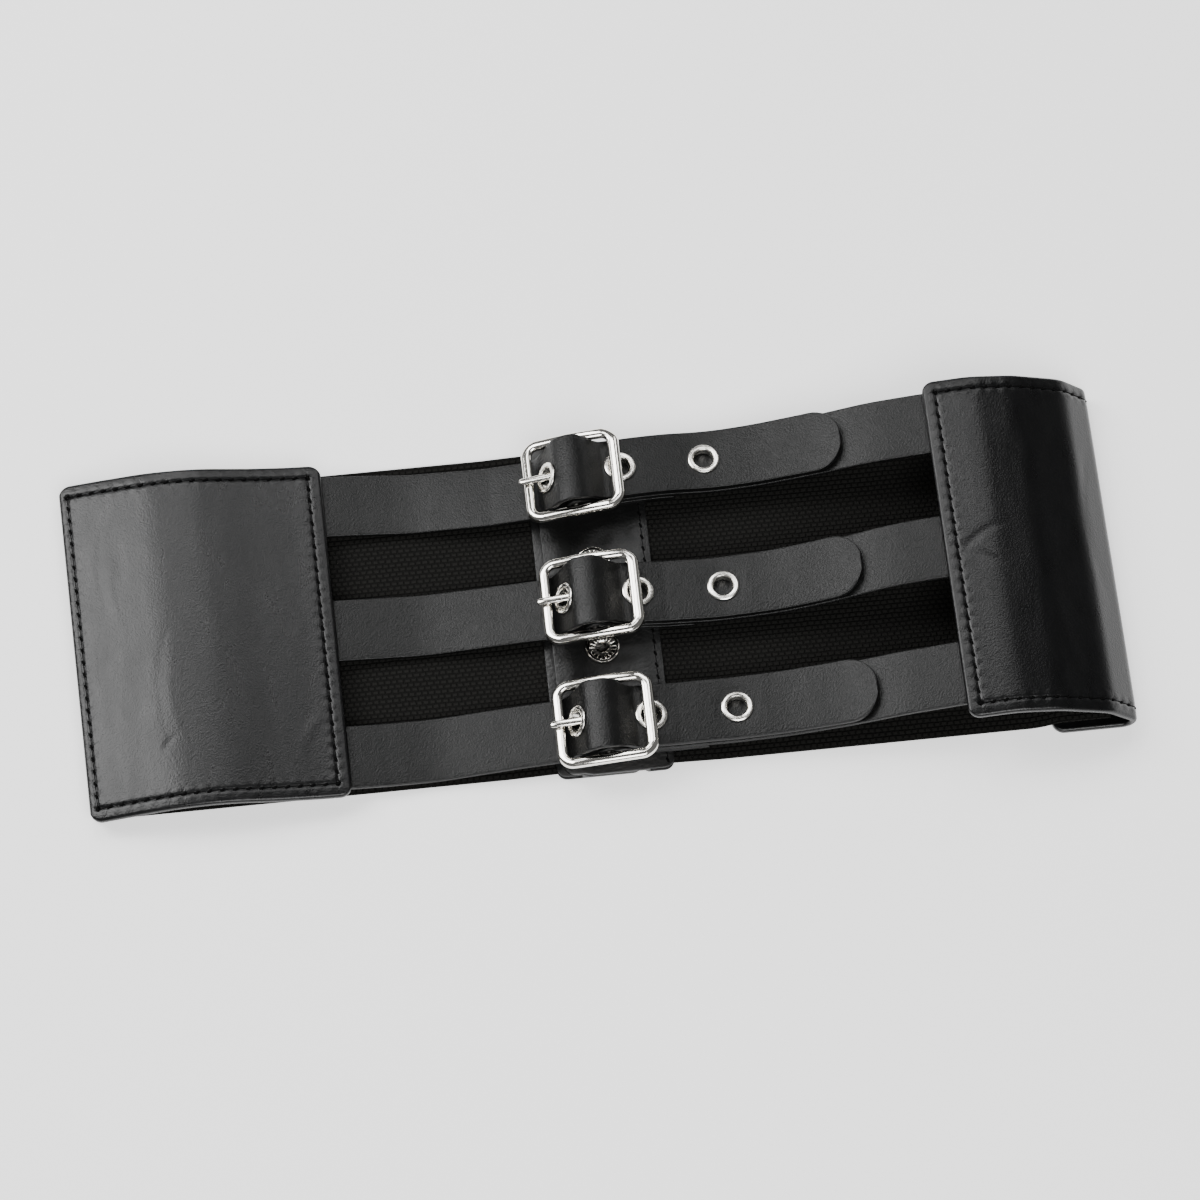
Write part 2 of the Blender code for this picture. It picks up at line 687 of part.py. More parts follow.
def add_frame(buckle):
    """A buckle frame: a closed ring of flattened wire with the centre bar soldered in."""
    length = frame_length - frame_wire
    width = frame_width - frame_wire
    corner = frame_corner - frame_wire / 2
    rings = []
    for x, y, start in ((1, 1, 0), (-1, 1, 1), (-1, -1, 2), (1, -1, 3)):
        centre = Vector((x * (length / 2 - corner), y * (width / 2 - corner)))
        quarter = arc(Vector((0, 0)), 1, start * math.pi / 2, (start + 1) * math.pi / 2)
        for out in quarter:
            middle = centre + corner * out
            angles = [2 * math.pi * side / ring_sides for side in range(ring_sides)]
            rings.append([Vector((middle.x + out.x * frame_wire / 2 * math.cos(angle),
                                  middle.y + out.y * frame_wire / 2 * math.cos(angle),
                                  frame_height / 2 * math.sin(angle))) for angle in angles])
    frame = add_object("buckle_frame_" + buckle.strap.name, loft(rings, closed=True), "nickel",
                       buckle.matrix())
    bar = turned([(0, -width / 2), (centre_bar_radius, -width / 2), (centre_bar_radius, width / 2),
                  (0, width / 2)], ring_sides + 2)
    along_y = Matrix.Rotation(math.pi / 2, 4, "X")
    tool = add_object(frame.name + "_bar", bar, None, buckle.matrix() @ along_y)
    use_as_tool(tool, frame, "UNION")


def add_prong(buckle):
    """A prong: a flat bar bent round the centre bar, whose tip lies on the left bar."""
    radius = buckle.prong_height
    ring = arc(Vector((0, 0)), radius, math.radians(-155), math.radians(90))
    tip = -frame_length / 2 - prong_overhang
    route = ring + [Vector((tip, radius))]
    bm = ribbon(route, prong_thickness, lambda along: prong_width / 2, lambda x, y, z: Vector((x, y, z)),
                0, prong_width / 3)
    add_object("buckle_prong_" + buckle.strap.name, bm, "nickel", buckle.matrix())


def centre_on_origin():
    """Move the belt so that the box round it stands centred on the origin."""
    bpy.context.view_layer.update()
    corners = [item.matrix_world @ Vector(corner) for item in bpy.context.scene.objects
               if item.type == "MESH" and not item.hide_render for corner in item.bound_box]
    for axis in (0, 1):
        low = min(corner[axis] for corner in corners)
        high = max(corner[axis] for corner in corners)
        bpy.data.objects["belt"].location[axis] -= (low + high) / 2
    bpy.context.view_layer.update()


def main():
    for item in list(bpy.data.objects):
        bpy.data.objects.remove(item)
    belt = bpy.data.objects.new("belt", None)
    bpy.context.collection.objects.link(belt)
    add_panels()
    add_elastic()
    add_closure()
    for strap in STRAPS:
        buckle = Buckle(strap)
        add_hole_strap(buckle)
        add_buckle_strap(buckle)
        add_frame(buckle)
        add_prong(buckle)
    centre_on_origin()


main()
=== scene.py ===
"""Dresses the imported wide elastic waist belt: stitched panels, buckled straps, woven elastic and the stage.

Soft pieces are cut flat, thickened, sewn and then bent along the same lines as the frame's solids.
"""

import math
from bisect import bisect_right
from collections import namedtuple

import bmesh
import bpy
from bpy.props import FloatProperty, FloatVectorProperty, PointerProperty
from mathutils import Matrix, Vector, noise


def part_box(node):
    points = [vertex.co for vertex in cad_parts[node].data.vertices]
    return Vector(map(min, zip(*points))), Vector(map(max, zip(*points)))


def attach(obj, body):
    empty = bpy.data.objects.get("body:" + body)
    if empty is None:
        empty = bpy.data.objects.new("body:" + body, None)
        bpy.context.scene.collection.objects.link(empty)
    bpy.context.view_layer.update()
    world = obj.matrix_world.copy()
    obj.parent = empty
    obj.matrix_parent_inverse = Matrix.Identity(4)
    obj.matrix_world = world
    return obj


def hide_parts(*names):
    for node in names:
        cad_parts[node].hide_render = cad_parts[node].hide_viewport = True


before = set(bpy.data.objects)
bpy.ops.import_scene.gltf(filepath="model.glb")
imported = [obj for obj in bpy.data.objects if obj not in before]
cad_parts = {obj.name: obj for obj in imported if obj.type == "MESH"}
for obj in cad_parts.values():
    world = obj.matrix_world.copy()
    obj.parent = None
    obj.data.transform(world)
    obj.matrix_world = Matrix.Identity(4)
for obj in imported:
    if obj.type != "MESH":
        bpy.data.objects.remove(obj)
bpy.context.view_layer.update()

bl_info = {
    "name": "Wide elastic waist belt",
    "version": (1, 0, 0),
    "blender": (4, 5, 0),
    "location": "View3D > Sidebar > Belt",
    "description": "Builds the visible pieces of a wide elastic waist belt over its frame",
    "category": "Object",
}

MM = 0.001
QUARTER_TURN = math.pi / 2

# Fineness of the arcs
ARC_TURN = math.radians(5)
ARC_STEP = 1.5 * MM

# Loop, as in the frame
LEFT_REACH = 152.5 * MM
RIGHT_REACH = 149.6 * MM
LEFT_RISE = 12.8 * MM
RIGHT_RISE = 23.4 * MM
RIGHT_FOLD_RADIUS = 4.6 * MM
RIGHT_FOLD_SLOPE = math.radians(48)
LEFT_LEAN = math.radians(1.9)
GAP = 0.3 * MM
METAL_GAP = 0.25 * MM

# Panels
LEFT_PANEL_LENGTH = 76.6 * MM
RIGHT_PANEL_LENGTH = 80 * MM
PANEL_WIDTH = 104.8 * MM
LEFT_PANEL_INNER_WIDTH = 103 * MM
LEFT_PANEL_DROOP = 1.1 * MM
PANEL_THICKNESS = 2.4 * MM
PANEL_CORNER = 3.5 * MM
LEFT_PANEL_BEND = 60 * MM
RIGHT_PANEL_BEND = 24 * MM
STRAP_LAP = 14 * MM
ELASTIC_LAP = 13 * MM

# Elastic and closure tabs
ELASTIC_WIDTH = 100 * MM
ELASTIC_THICKNESS = 1.2 * MM
ELASTIC_EDGE = 0.5 * MM
TAB_WIDTH = 103 * MM
TAB_THICKNESS = 1.2 * MM
TAB_CORNER = 3 * MM
OUTER_TAB_LEFT = 17.4 * MM
OUTER_TAB_RIGHT = 7.4 * MM
INNER_TAB_LEFT = 15 * MM
INNER_TAB_RIGHT = 16.5 * MM
TAB_SLOT_DEPTH = 7.5 * MM
TAB_RAMP = 2.5 * MM
ELASTIC_SETTLE = 13 * MM
ELASTIC_SLOT_BEND = 20 * MM
ELASTIC_SETTLE_BEND = 30 * MM
ELASTIC_STEP = 1.5 * MM
ELASTIC_STEP_BEND = 6 * MM
ELASTIC_RAMP = 6.5 * MM
STUD_SPACING = 26.4 * MM
STUD_OFFSET = 0.5 * MM
STUD_RING_RADIUS = 5 * MM
STUD_RING_HEIGHT = 1.1 * MM
STUD_HOLE_RADIUS = 1.7 * MM
STUD_CAP_RADIUS = 4.3 * MM
STUD_CAP_HEIGHT = 0.5 * MM
STUD_DEPTH = 1.9 * MM
STUD_RIBS = 18

# Straps
STRAP_WIDTH = 19 * MM
STRAP_THICKNESS = 1.6 * MM
STRAP_PITCH = 39.1 * MM
STRAP_GATHER = 1.3 * MM
STRAP_TIP_RADIUS = 8.7 * MM
STRAP_TIP_LENGTH = 41 * MM
FOLD_BACK_LENGTH = 29 * MM
STRAP_SWAY = 1.5 * MM
LEFT_SLACK_HEIGHT = 1.5 * MM
LEFT_SLACK_BEND = 60 * MM
LEFT_JOINT_BEND = 30 * MM
RIGHT_SLACK_BEND = 80 * MM
RIGHT_JOINT_BEND = 20 * MM
JOINT_LENGTH = 3 * MM
DRIFT_LEFT = -1 * MM
DRIFT_RIGHT = 1.4 * MM
DRIFT_SHARE = 0.85
DRIFT_START = -14 * MM
DRIFT_END = 30 * MM
BUCKLE_ZONE = 17 * MM
RUN_SLOPE = math.radians(8)
APPROACH_SLOPE = math.radians(4)
APPROACH_LENGTH = 12 * MM
APPROACH_BEND = 40 * MM
ARCH_SLOPE = math.radians(58)
ARCH_CLEARANCE = 0.8 * MM
ARCH_BACK = 2.8 * MM
ARCH_FOOT = 7.9 * MM
ARCH_BEND = 2.4 * MM
ARCH_HUMP = 0.9 * MM
ARCH_HUMP_REACH = 5.2 * MM
ARCH_HUMP_SHIFT = 0.6 * MM
ARCH_EASE = 4.2 * MM
ARCH_STEP = 0.4 * MM
DIP_PLACE = 27 * MM
DIP_REACH = 12 * MM
DIPS = {"upper": 0.95 * MM, "middle": 0.15 * MM, "lower": 0.15 * MM}
CREST_PLACE = 7 * MM
CREST_REACH = 7.5 * MM
CREST_BULGE = 0.12
WRAP_REACH = 9 * MM
WRAP_BULGE = 0.096
PRONG_SLOT_PLAY = 0.9 * MM
PRONG_SLOT_REACH = 6.5 * MM

# Seams: how far their pull reaches, how wide its parts are, and their depths as shares of the seam's
SEAM_REACH = 4 * MM
SEAM_END = 2 * MM
SEAM_SUNK = 0.12 * MM
GROOVE_WIDTH = 0.55 * MM
NEEDLE_DEPTH = 1.3
NEEDLE_WIDTH = 0.42 * MM
PUCKER_DEPTH = 0.3
PUCKER_PLACE = 1.1 * MM
PUCKER_WIDTH = 0.8 * MM

# Stitches and the knots between them: slant, and half sizes as shares of the pitch and the thread
STITCH_SLANT = math.radians(4)
STITCH_LENGTH = 0.46
STITCH_SIZE = (0.2, 0.16)
KNOT_SLANT = math.radians(22)
KNOT_SIZE = (1.45, 0.62, 0.42)

# Spacing of the flat grids' lines along and across a piece
PANEL_GRID = (0.65 * MM, 0.65 * MM)
HOLE_STRAP_GRID = (0.55 * MM, 0.75 * MM)
BUCKLE_STRAP_GRID = (0.5 * MM, 0.8 * MM)
ELASTIC_GRID = (0.9 * MM, 2.2 * MM)

# Distances from a piece's edges at which its flat grid has extra lines
PANEL_CUTS = [place * MM for place in (0, 0.06, 0.2, 0.42, 0.72, 1.05, 1.5, 2.1, 2.6, 3, 3.35, 3.6, 3.8, 4,
                                       4.25, 4.6, 5.1, 5.7)]
STRAP_CUTS = [place * MM for place in (0, 0.08, 0.2, 0.35, 0.7, 1.2)]
ELASTIC_CUTS = [place * MM for place in (0, 0.1, 0.25, 0.5, 1)]
LEAST_CUT = 0.04 * MM

# Eyelets and buckles
EYELET_PITCH = 25 * MM
EYELET_RADIUS = 4.6 * MM
EYELET_HOLE_RADIUS = 2.9 * MM
EYELET_BARREL = 0.35 * MM
EYELET_HEIGHT = 0.6 * MM
EYELET_BACK_HEIGHT = 0.3 * MM
EYELET_BACK_WIDTH = 0.5 * MM
BUCKLE_OFFSET = 4 * MM
FRAME_LENGTH = 29.4 * MM
FRAME_WIDTH = 26.9 * MM
FRAME_WIRE = 3 * MM
FRAME_HEIGHT = 2.6 * MM
FRAME_CORNER = 5 * MM
FRAME_BOW = 1.2 * MM
FRAME_END_WIDENING = 0.35 * MM
FRAME_SQUARENESS = 2.3
CENTRE_BAR_RADIUS = 1.3 * MM
PRONG_WIDTH = 2.3 * MM
PRONG_THICKNESS = 1.3 * MM
PRONG_OVERHANG = 0.9 * MM
PRONG_PULL = 0.5 * MM
PRONG_SQUARENESS = 3
PRONG_WRAP = math.radians(245)

# Heights that follow from the stacked layers
PLY = TAB_THICKNESS / 2
TAB_SLOT = ELASTIC_THICKNESS + 2 * METAL_GAP
FORK_HEIGHT = TAB_SLOT + 2 * PLY
LAYER_GAP = METAL_GAP + EYELET_BACK_HEIGHT + GAP
HALF_STRAP = STRAP_THICKNESS / 2
FOLD_STACK = 2 * ELASTIC_THICKNESS + 3 * GAP + PANEL_THICKNESS

# The three rows: share of the buckle's offset, its tilt and roll, and shares of the strap's slack and sway
Strap = namedtuple("Strap", "name row offset tilt roll slack sway")
STRAPS = [
    Strap("upper", 1, 1, math.radians(11.5), math.radians(-6), 1, 0.13),
    Strap("middle", 0, 0.6, math.radians(9), math.radians(-2.5), 1.05, -1),
    Strap("lower", -1, 0.6, math.radians(8), math.radians(-2), 0.9, 0.2),
]

# Unevenness of the soft pieces: heights and lengths of its waves
PANEL_WAVE, PANEL_WAVE_LENGTH = 0.08 * MM, 17 * MM
PANEL_RIPPLE, PANEL_RIPPLE_LENGTH = 0.03 * MM, 6 * MM
PANEL_WAVE_STRETCH = 0.4
STRAP_WAVE, STRAP_WAVE_LENGTH = 0.08 * MM, 9 * MM
STRAP_RIPPLE, STRAP_RIPPLE_LENGTH = 0.05 * MM, 3.5 * MM
HOLE_STRAP_FALL = 0.12 * MM
BUCKLE_STRAP_FALL = 0.1 * MM
EYELET_DIMPLE, EYELET_DIMPLE_RADIUS, EYELET_DIMPLE_WIDTH = 0.1 * MM, 5.2 * MM, 1.2 * MM
ELASTIC_WAVE, ELASTIC_WAVE_LENGTH = 0.12 * MM, 14 * MM
ELASTIC_SUNK = 0.03 * MM

# Crowns and slack of the lines along the belt, as (share of the length, share of the height)
LEFT_CROWN = [(0, 0), (0.16, 0.42), (0.34, 0.86), (0.52, 1), (0.72, 0.64), (0.87, 0.46), (1.03, 0.355)]
RIGHT_CROWN = [(0.665, 0.945), (0.757, 1.012), (0.845, 0.925), (0.935, 0.66)]
RIGHT_SLACK = [(0.22, 0.33), (0.41, 0.4), (0.6, 0.57), (0.81, 0.86)]
LEFT_SLACK = [(0.5, 0.27), (0.78, 1)]

# Stage: each light's name, place, width and height
LIGHTS = [
    ("key", (-0.82, 0.44, 0.95), 0.6, 0.75),
    ("top", (-0.2, 0.68, 1.0), 0.24, 0.75),
    ("right", (0.34, 0.7, 1.0), 0.2, 0.8),
    ("side", (1.15, 0.35, 0.3), 1.0, 0.45),
    ("fill", (0.15, -0.95, 1.15), 1.1, 0.8),
]
FLOOR_SIZE = 4
FLOOR_DROP = 0.1 * MM

# Place that the camera looks at, as (y, z) from the middle of the loop's base
CAMERA_AIM = (-1.23 * MM, 10 * MM)

# Soft creases in the panels: share of the length, share of the width, half length, turn in degrees,
# half width and height
CREASE_BOW = 0.16
LEFT_CREASES = [
    (0.13, 0.22, 15 * MM, 88, 1 * MM, -0.07 * MM),
    (0.17, 0.16, 12 * MM, 93, 0.9 * MM, 0.06 * MM),
    (0.1, -0.05, 13 * MM, 90, 1 * MM, -0.06 * MM),
    (0.32, -0.12, 16 * MM, 84, 1.2 * MM, -0.07 * MM),
    (0.36, -0.2, 12 * MM, 96, 1 * MM, 0.06 * MM),
    (0.33, -0.31, 2.5 * MM, 50, 0.8 * MM, -0.16 * MM),
    (0.56, 0.3, 20 * MM, 90, 3.5 * MM, -0.1 * MM),
    (0.86, -0.3, 7 * MM, 60, 1.6 * MM, 0.1 * MM),
]
RIGHT_CREASES = [
    (0.12, 0.02, 7 * MM, 35, 1.1 * MM, -0.2 * MM),
    (0.16, -0.05, 6 * MM, -38, 1.1 * MM, -0.14 * MM),
    (0.3, 0.25, 14 * MM, 84, 2.4 * MM, -0.1 * MM),
    (0.38, -0.22, 15 * MM, 95, 2.2 * MM, 0.1 * MM),
    (0.55, 0.1, 16 * MM, 86, 1.8 * MM, -0.12 * MM),
]


class BeltSewing(bpy.types.PropertyGroup):
    """Seams and edges of the soft pieces."""

    stitch_pitch: FloatProperty(name="Stitch pitch", description="Distance from one needle hole to the next",
                                default=3.7 * MM, unit="LENGTH")
    stitch_inset: FloatProperty(name="Stitch inset", description="Distance of a seam from the panel's edge",
                                default=3.8 * MM, unit="LENGTH")
    fold_inset: FloatProperty(name="Fold seam inset", description="Distance of the seam along the left fold",
                              default=2.6 * MM, unit="LENGTH")
    tab_inset: FloatProperty(name="Tab seam inset", description="Distance of the tab's seam from its edge",
                             default=2 * MM, unit="LENGTH")
    thread: FloatProperty(name="Thread", description="Thickness of the sewing thread",
                          default=0.62 * MM, unit="LENGTH")
    groove: FloatProperty(name="Seam depth", description="How far a seam pulls the leather down",
                          default=0.2 * MM, unit="LENGTH")
    border: FloatProperty(name="Border", description="How far a panel is pressed down outside its seam",
                          default=0.28 * MM, unit="LENGTH")
    panel_edge: FloatProperty(name="Panel edge", description="Rounding of a panel's turned edge",
                              default=0.8 * MM, unit="LENGTH")
    strap_edge: FloatProperty(name="Strap edge", description="Rounding of a strap's cut edge",
                              default=0.35 * MM, unit="LENGTH")


class BeltFinish(bpy.types.PropertyGroup):
    """Colours and gloss."""

    panel: FloatVectorProperty(name="Panel leather", description="Colour of the panels", subtype="COLOR",
                               size=4, default=(0.0018, 0.0019, 0.0021, 1))
    strap: FloatVectorProperty(name="Strap leather", description="Colour of the straps and tabs",
                               subtype="COLOR", size=4, default=(0.0045, 0.0047, 0.0046, 1))
    elastic: FloatVectorProperty(name="Elastic", description="Colour of the woven elastic", subtype="COLOR",
                                 size=4, default=(0.0075, 0.0073, 0.0066, 1))
    thread: FloatVectorProperty(name="Thread", description="Colour of the sewing thread", subtype="COLOR",
                                size=4, default=(0.0015, 0.0015, 0.0015, 1))
    nickel: FloatVectorProperty(name="Nickel", description="Colour of the buckles and eyelets",
                                subtype="COLOR", size=4, default=(0.93, 0.905, 0.85, 1))
    panel_gloss: FloatProperty(name="Panel roughness", description="Roughness of the panel leather",
                               default=0.29, min=0, max=1)
    strap_gloss: FloatProperty(name="Strap roughness", description="Roughness of the strap leather",
                               default=0.35, min=0, max=1)
    metal_gloss: FloatProperty(name="Metal roughness", description="Roughness of the nickel plate",
                               default=0.1, min=0, max=1)


class BeltStage(bpy.types.PropertyGroup):
    """Camera and light."""

    azimuth: FloatProperty(name="Azimuth", description="Camera's turn round the belt", subtype="ANGLE",
                           default=math.radians(-5.95))
    elevation: FloatProperty(name="Elevation", description="Camera's height above the horizon",
                             subtype="ANGLE", default=math.radians(68))
    distance: FloatProperty(name="Distance", description="From the belt to the camera", default=1.24,
                            unit="LENGTH")
    lens: FloatProperty(name="Lens", description="Focal length in millimetres", default=128.9, unit="CAMERA")
    key_power: FloatProperty(name="Key light", description="Power of the soft light behind on the left",
                             default=13, unit="POWER")
    top_power: FloatProperty(name="Top light", description="Power of the weaker soft light overhead",
                             default=4.1, unit="POWER")
    right_power: FloatProperty(name="Right light", description="Power of the faint light overhead right",
                               default=2.7, unit="POWER")
    side_power: FloatProperty(name="Side light", description="Power of the low soft light on the right",
                              default=0.2, unit="POWER")
    fill_power: FloatProperty(name="Fill light", description="Power of the soft light in front",
                              default=20, unit="POWER")
    sky: FloatProperty(name="Surround", description="Strength of the even light from all round",
                       default=0.13)
    table: FloatProperty(name="Table glow", description="Strength of the light through the pale table top",
                         default=0.8)


# Lines along the belt, seen along Y, as lists of (x, z) points
def ease(start, end, x):
    """Smooth step from 0 at start to 1 at end."""
    share = min(1.0, max(0.0, (x - start) / (end - start)))
    return share * share * (3 - 2 * share)


def swell(offset):
    """Smooth hump: 1 in the middle, and 0 from an offset of 1 on."""
    return math.cos(QUARTER_TURN * min(1.0, abs(offset))) ** 2


def rounding(radius, inset):
    """How far a rounded edge falls short of its corner, at an inset from it."""
    if inset >= radius:
        return 0.0
    return radius - math.sqrt(max(0.0, radius ** 2 - (radius - max(0.0, inset)) ** 2))


def turned_by(point, angle):
    """2D point turned about zero."""
    return Vector((point.x * math.cos(angle) - point.y * math.sin(angle),
                   point.x * math.sin(angle) + point.y * math.cos(angle)))


def arc(centre, radius, start, end):
    """Points round a circle between two angles."""
    steps = max(2, math.ceil(abs(end - start) / ARC_TURN))
    angles = [start + (end - start) * step / steps for step in range(steps + 1)]
    return [centre + radius * Vector((math.cos(angle), math.sin(angle))) for angle in angles]


def rounded(corners):
    """Line through (x, z, radius) corners, each rounded by an arc."""
    points = [Vector(corners[0][:2])]
    for before, corner, after in zip(corners, corners[1:], corners[2:]):
        here = Vector(corner[:2])
        back = Vector(before[:2]) - here
        ahead = Vector(after[:2]) - here
        turn = math.pi - back.angle(ahead)
        if turn < 1e-4:
            continue
        reach = min(corner[2] * math.tan(turn / 2), 0.49 * back.length, 0.49 * ahead.length)
        radius = reach / math.tan(turn / 2)
        inward = (back.normalized() + ahead.normalized()).normalized()
        centre = here + inward * (radius / math.cos(turn / 2))
        start = here + back.normalized() * reach - centre
        side = math.copysign(1, back.cross(ahead))
        steps = max(2, math.ceil(turn / ARC_TURN), math.ceil(radius * turn / ARC_STEP))
        for step in range(steps + 1):
            points.append(centre + turned_by(start, -side * turn * step / steps))
    points.append(Vector(corners[-1][:2]))
    return points


def normals(route):
    """Unit normals on the left of a line, at each of its points."""
    found = []
    for index in range(len(route)):
        ahead = route[min(index + 1, len(route) - 1)] - route[max(index - 1, 0)]
        found.append(Vector((-ahead.y, ahead.x)).normalized())
    return found


def moved_aside(route, distance):
    """Line at a distance on the left of another one."""
    return [point + normal * distance for point, normal in zip(route, normals(route))]


def lengths(route):
    """Distance along a line at each of its points."""
    total = [0.0]
    for before, after in zip(route, route[1:]):
        total.append(total[-1] + (after - before).length)
    return total


def point_at(route, distance):
    """Point at a distance along a line."""
    along = lengths(route)
    distance = min(max(distance, 0.0), along[-1])
    index = min(bisect_right(along, distance), len(route) - 1)
    share = (distance - along[index - 1]) / max(along[index] - along[index - 1], 1e-12)
    return route[index - 1].lerp(route[index], share)


def stretch(route, start, end):
    """The part of a line between two distances along it."""
    inner = [point for point, along in zip(route, lengths(route)) if start + 1e-6 < along < end - 1e-6]
    return [point_at(route, start)] + inner + [point_at(route, end)]


def distance_to_x(route, x):
    """Distance along a line that runs in X to where it crosses x."""
    along = lengths(route)
    for index in range(1, len(route)):
        low, high = sorted((route[index - 1].x, route[index].x))
        if low <= x <= high and high > low:
            share = (x - route[index - 1].x) / (route[index].x - route[index - 1].x)
            return along[index - 1] + (along[index] - along[index - 1]) * share
    raise ValueError("the line does not reach that x")


def tangent_angle(point, centre, radius, side):
    """Angle on a circle where the tangent from a point touches it, above or below."""
    away = point - centre
    return math.atan2(away.y, away.x) + side * math.acos(radius / away.length)


def left_panel_route():
    """Outer face of the left panel, from the fold to its inner edge."""
    rise = LEFT_RISE - FOLD_STACK
    corners = [(LEFT_PANEL_LENGTH * reach - LEFT_REACH, FOLD_STACK + rise * height, LEFT_PANEL_BEND)
               for reach, height in LEFT_CROWN]
    return stretch(rounded(corners), 0, LEFT_PANEL_LENGTH)


def right_panel_route():
    """Outer face of the right panel, from its inner edge round the fold to its end underneath."""
    corners = [(RIGHT_REACH * reach, RIGHT_RISE * height, RIGHT_PANEL_BEND)
               for reach, height in RIGHT_CROWN]
    x, z, radius = corners[-1]
    fold_x = RIGHT_REACH + RIGHT_FOLD_RADIUS * (math.tan((math.pi - RIGHT_FOLD_SLOPE) / 2) - 1)
    corners[-1] = (fold_x - z / math.tan(RIGHT_FOLD_SLOPE), z, radius / 2)
    corners += [(fold_x, 0, RIGHT_FOLD_RADIUS), (fold_x - RIGHT_PANEL_LENGTH, 0, 0)]
    return stretch(rounded(corners), 0, RIGHT_PANEL_LENGTH)


SHIFT_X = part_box("right_panel")[1].x - max(point.x for point in right_panel_route())
SHIFT_Y = (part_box("right_panel")[0].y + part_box("right_panel")[1].y) / 2


def in_place(x, y, z):
    """Point of the loop in the frame: it leans sideways towards the left fold."""
    lean = -math.tan(LEFT_LEAN) * max(0.0, (-x - LEFT_REACH / 5) / (LEFT_REACH * 4 / 5))
    return Vector((x + lean * y + SHIFT_X, y + SHIFT_Y, z))


def left_panel_place(x, y, z):
    """The left panel droops a little towards its inner edge."""
    return in_place(x, y - LEFT_PANEL_DROOP * ease(-LEFT_REACH, LEFT_PANEL_LENGTH - LEFT_REACH, x), z)


def elastic_left_route():
    """Middle line of the left half of the elastic."""
    half = ELASTIC_THICKNESS / 2
    in_slot = PLY + METAL_GAP + half
    lap = moved_aside(left_panel_route(), -(PANEL_THICKNESS + GAP + half))
    fold_x = lap[0].x + GAP
    fold_top = point_at(lap, distance_to_x(lap, fold_x))
    lap = stretch(lap, distance_to_x(lap, fold_x + 3 * ELASTIC_THICKNESS), ELASTIC_LAP)
    slot_end = OUTER_TAB_LEFT - TAB_SLOT_DEPTH + 2 * GAP
    fold = (fold_top.y - half) / 2
    corners = [(-slot_end, in_slot, 0), (-OUTER_TAB_LEFT - GAP, in_slot, ELASTIC_SLOT_BEND),
               (-OUTER_TAB_LEFT - ELASTIC_SETTLE, half, ELASTIC_SETTLE_BEND), (fold_x, half, fold),
               (fold_x, fold_top.y, fold), (lap[0].x, lap[0].y, 0)]
    return rounded(corners) + lap[1:]


def elastic_right_route():
    """Middle line of the right half of the elastic."""
    half = ELASTIC_THICKNESS / 2
    in_slot = PLY + METAL_GAP + half
    on_panel = PANEL_THICKNESS + GAP + half
    panel_end = right_panel_route()[-1].x
    slot_end = INNER_TAB_RIGHT - TAB_SLOT_DEPTH + 2 * GAP
    step = panel_end - ELASTIC_STEP
    return rounded([(slot_end, in_slot, 0), (INNER_TAB_RIGHT + GAP, in_slot, ELASTIC_SLOT_BEND),
                    (INNER_TAB_RIGHT + ELASTIC_SETTLE, half, ELASTIC_SETTLE_BEND),
                    (step - ELASTIC_RAMP, half, 2 * ELASTIC_STEP_BEND), (step, on_panel, ELASTIC_STEP_BEND),
                    (panel_end + ELASTIC_LAP, on_panel, 0)])


def held(x):
    """Share of the buckle's hold on the strap: 1 next to the buckle, 0 at the panels."""
    left = ease(LEFT_PANEL_LENGTH - LEFT_REACH, -BUCKLE_ZONE, x)
    right = 1 - ease(BUCKLE_ZONE, RIGHT_REACH * RIGHT_CROWN[0][0], x)
    return min(left, right)


def strap_centre(strap, x):
    """Y of a strap's middle line."""
    panel = RIGHT_REACH * RIGHT_CROWN[0][0]
    gather = ease(LEFT_PANEL_LENGTH - LEFT_REACH, -BUCKLE_ZONE, x)
    right = DRIFT_SHARE * ease(DRIFT_START, DRIFT_END, x) + (1 - DRIFT_SHARE) * ease(DRIFT_END, panel, x)
    sway = STRAP_SWAY * strap.sway * ease(0, panel / 3, x) * (1 - ease(panel / 2, panel, x))
    drift = DRIFT_LEFT + (DRIFT_RIGHT - DRIFT_LEFT) * right + sway
    return strap.row * (STRAP_PITCH - STRAP_GATHER * gather * (1 - right)) + drift


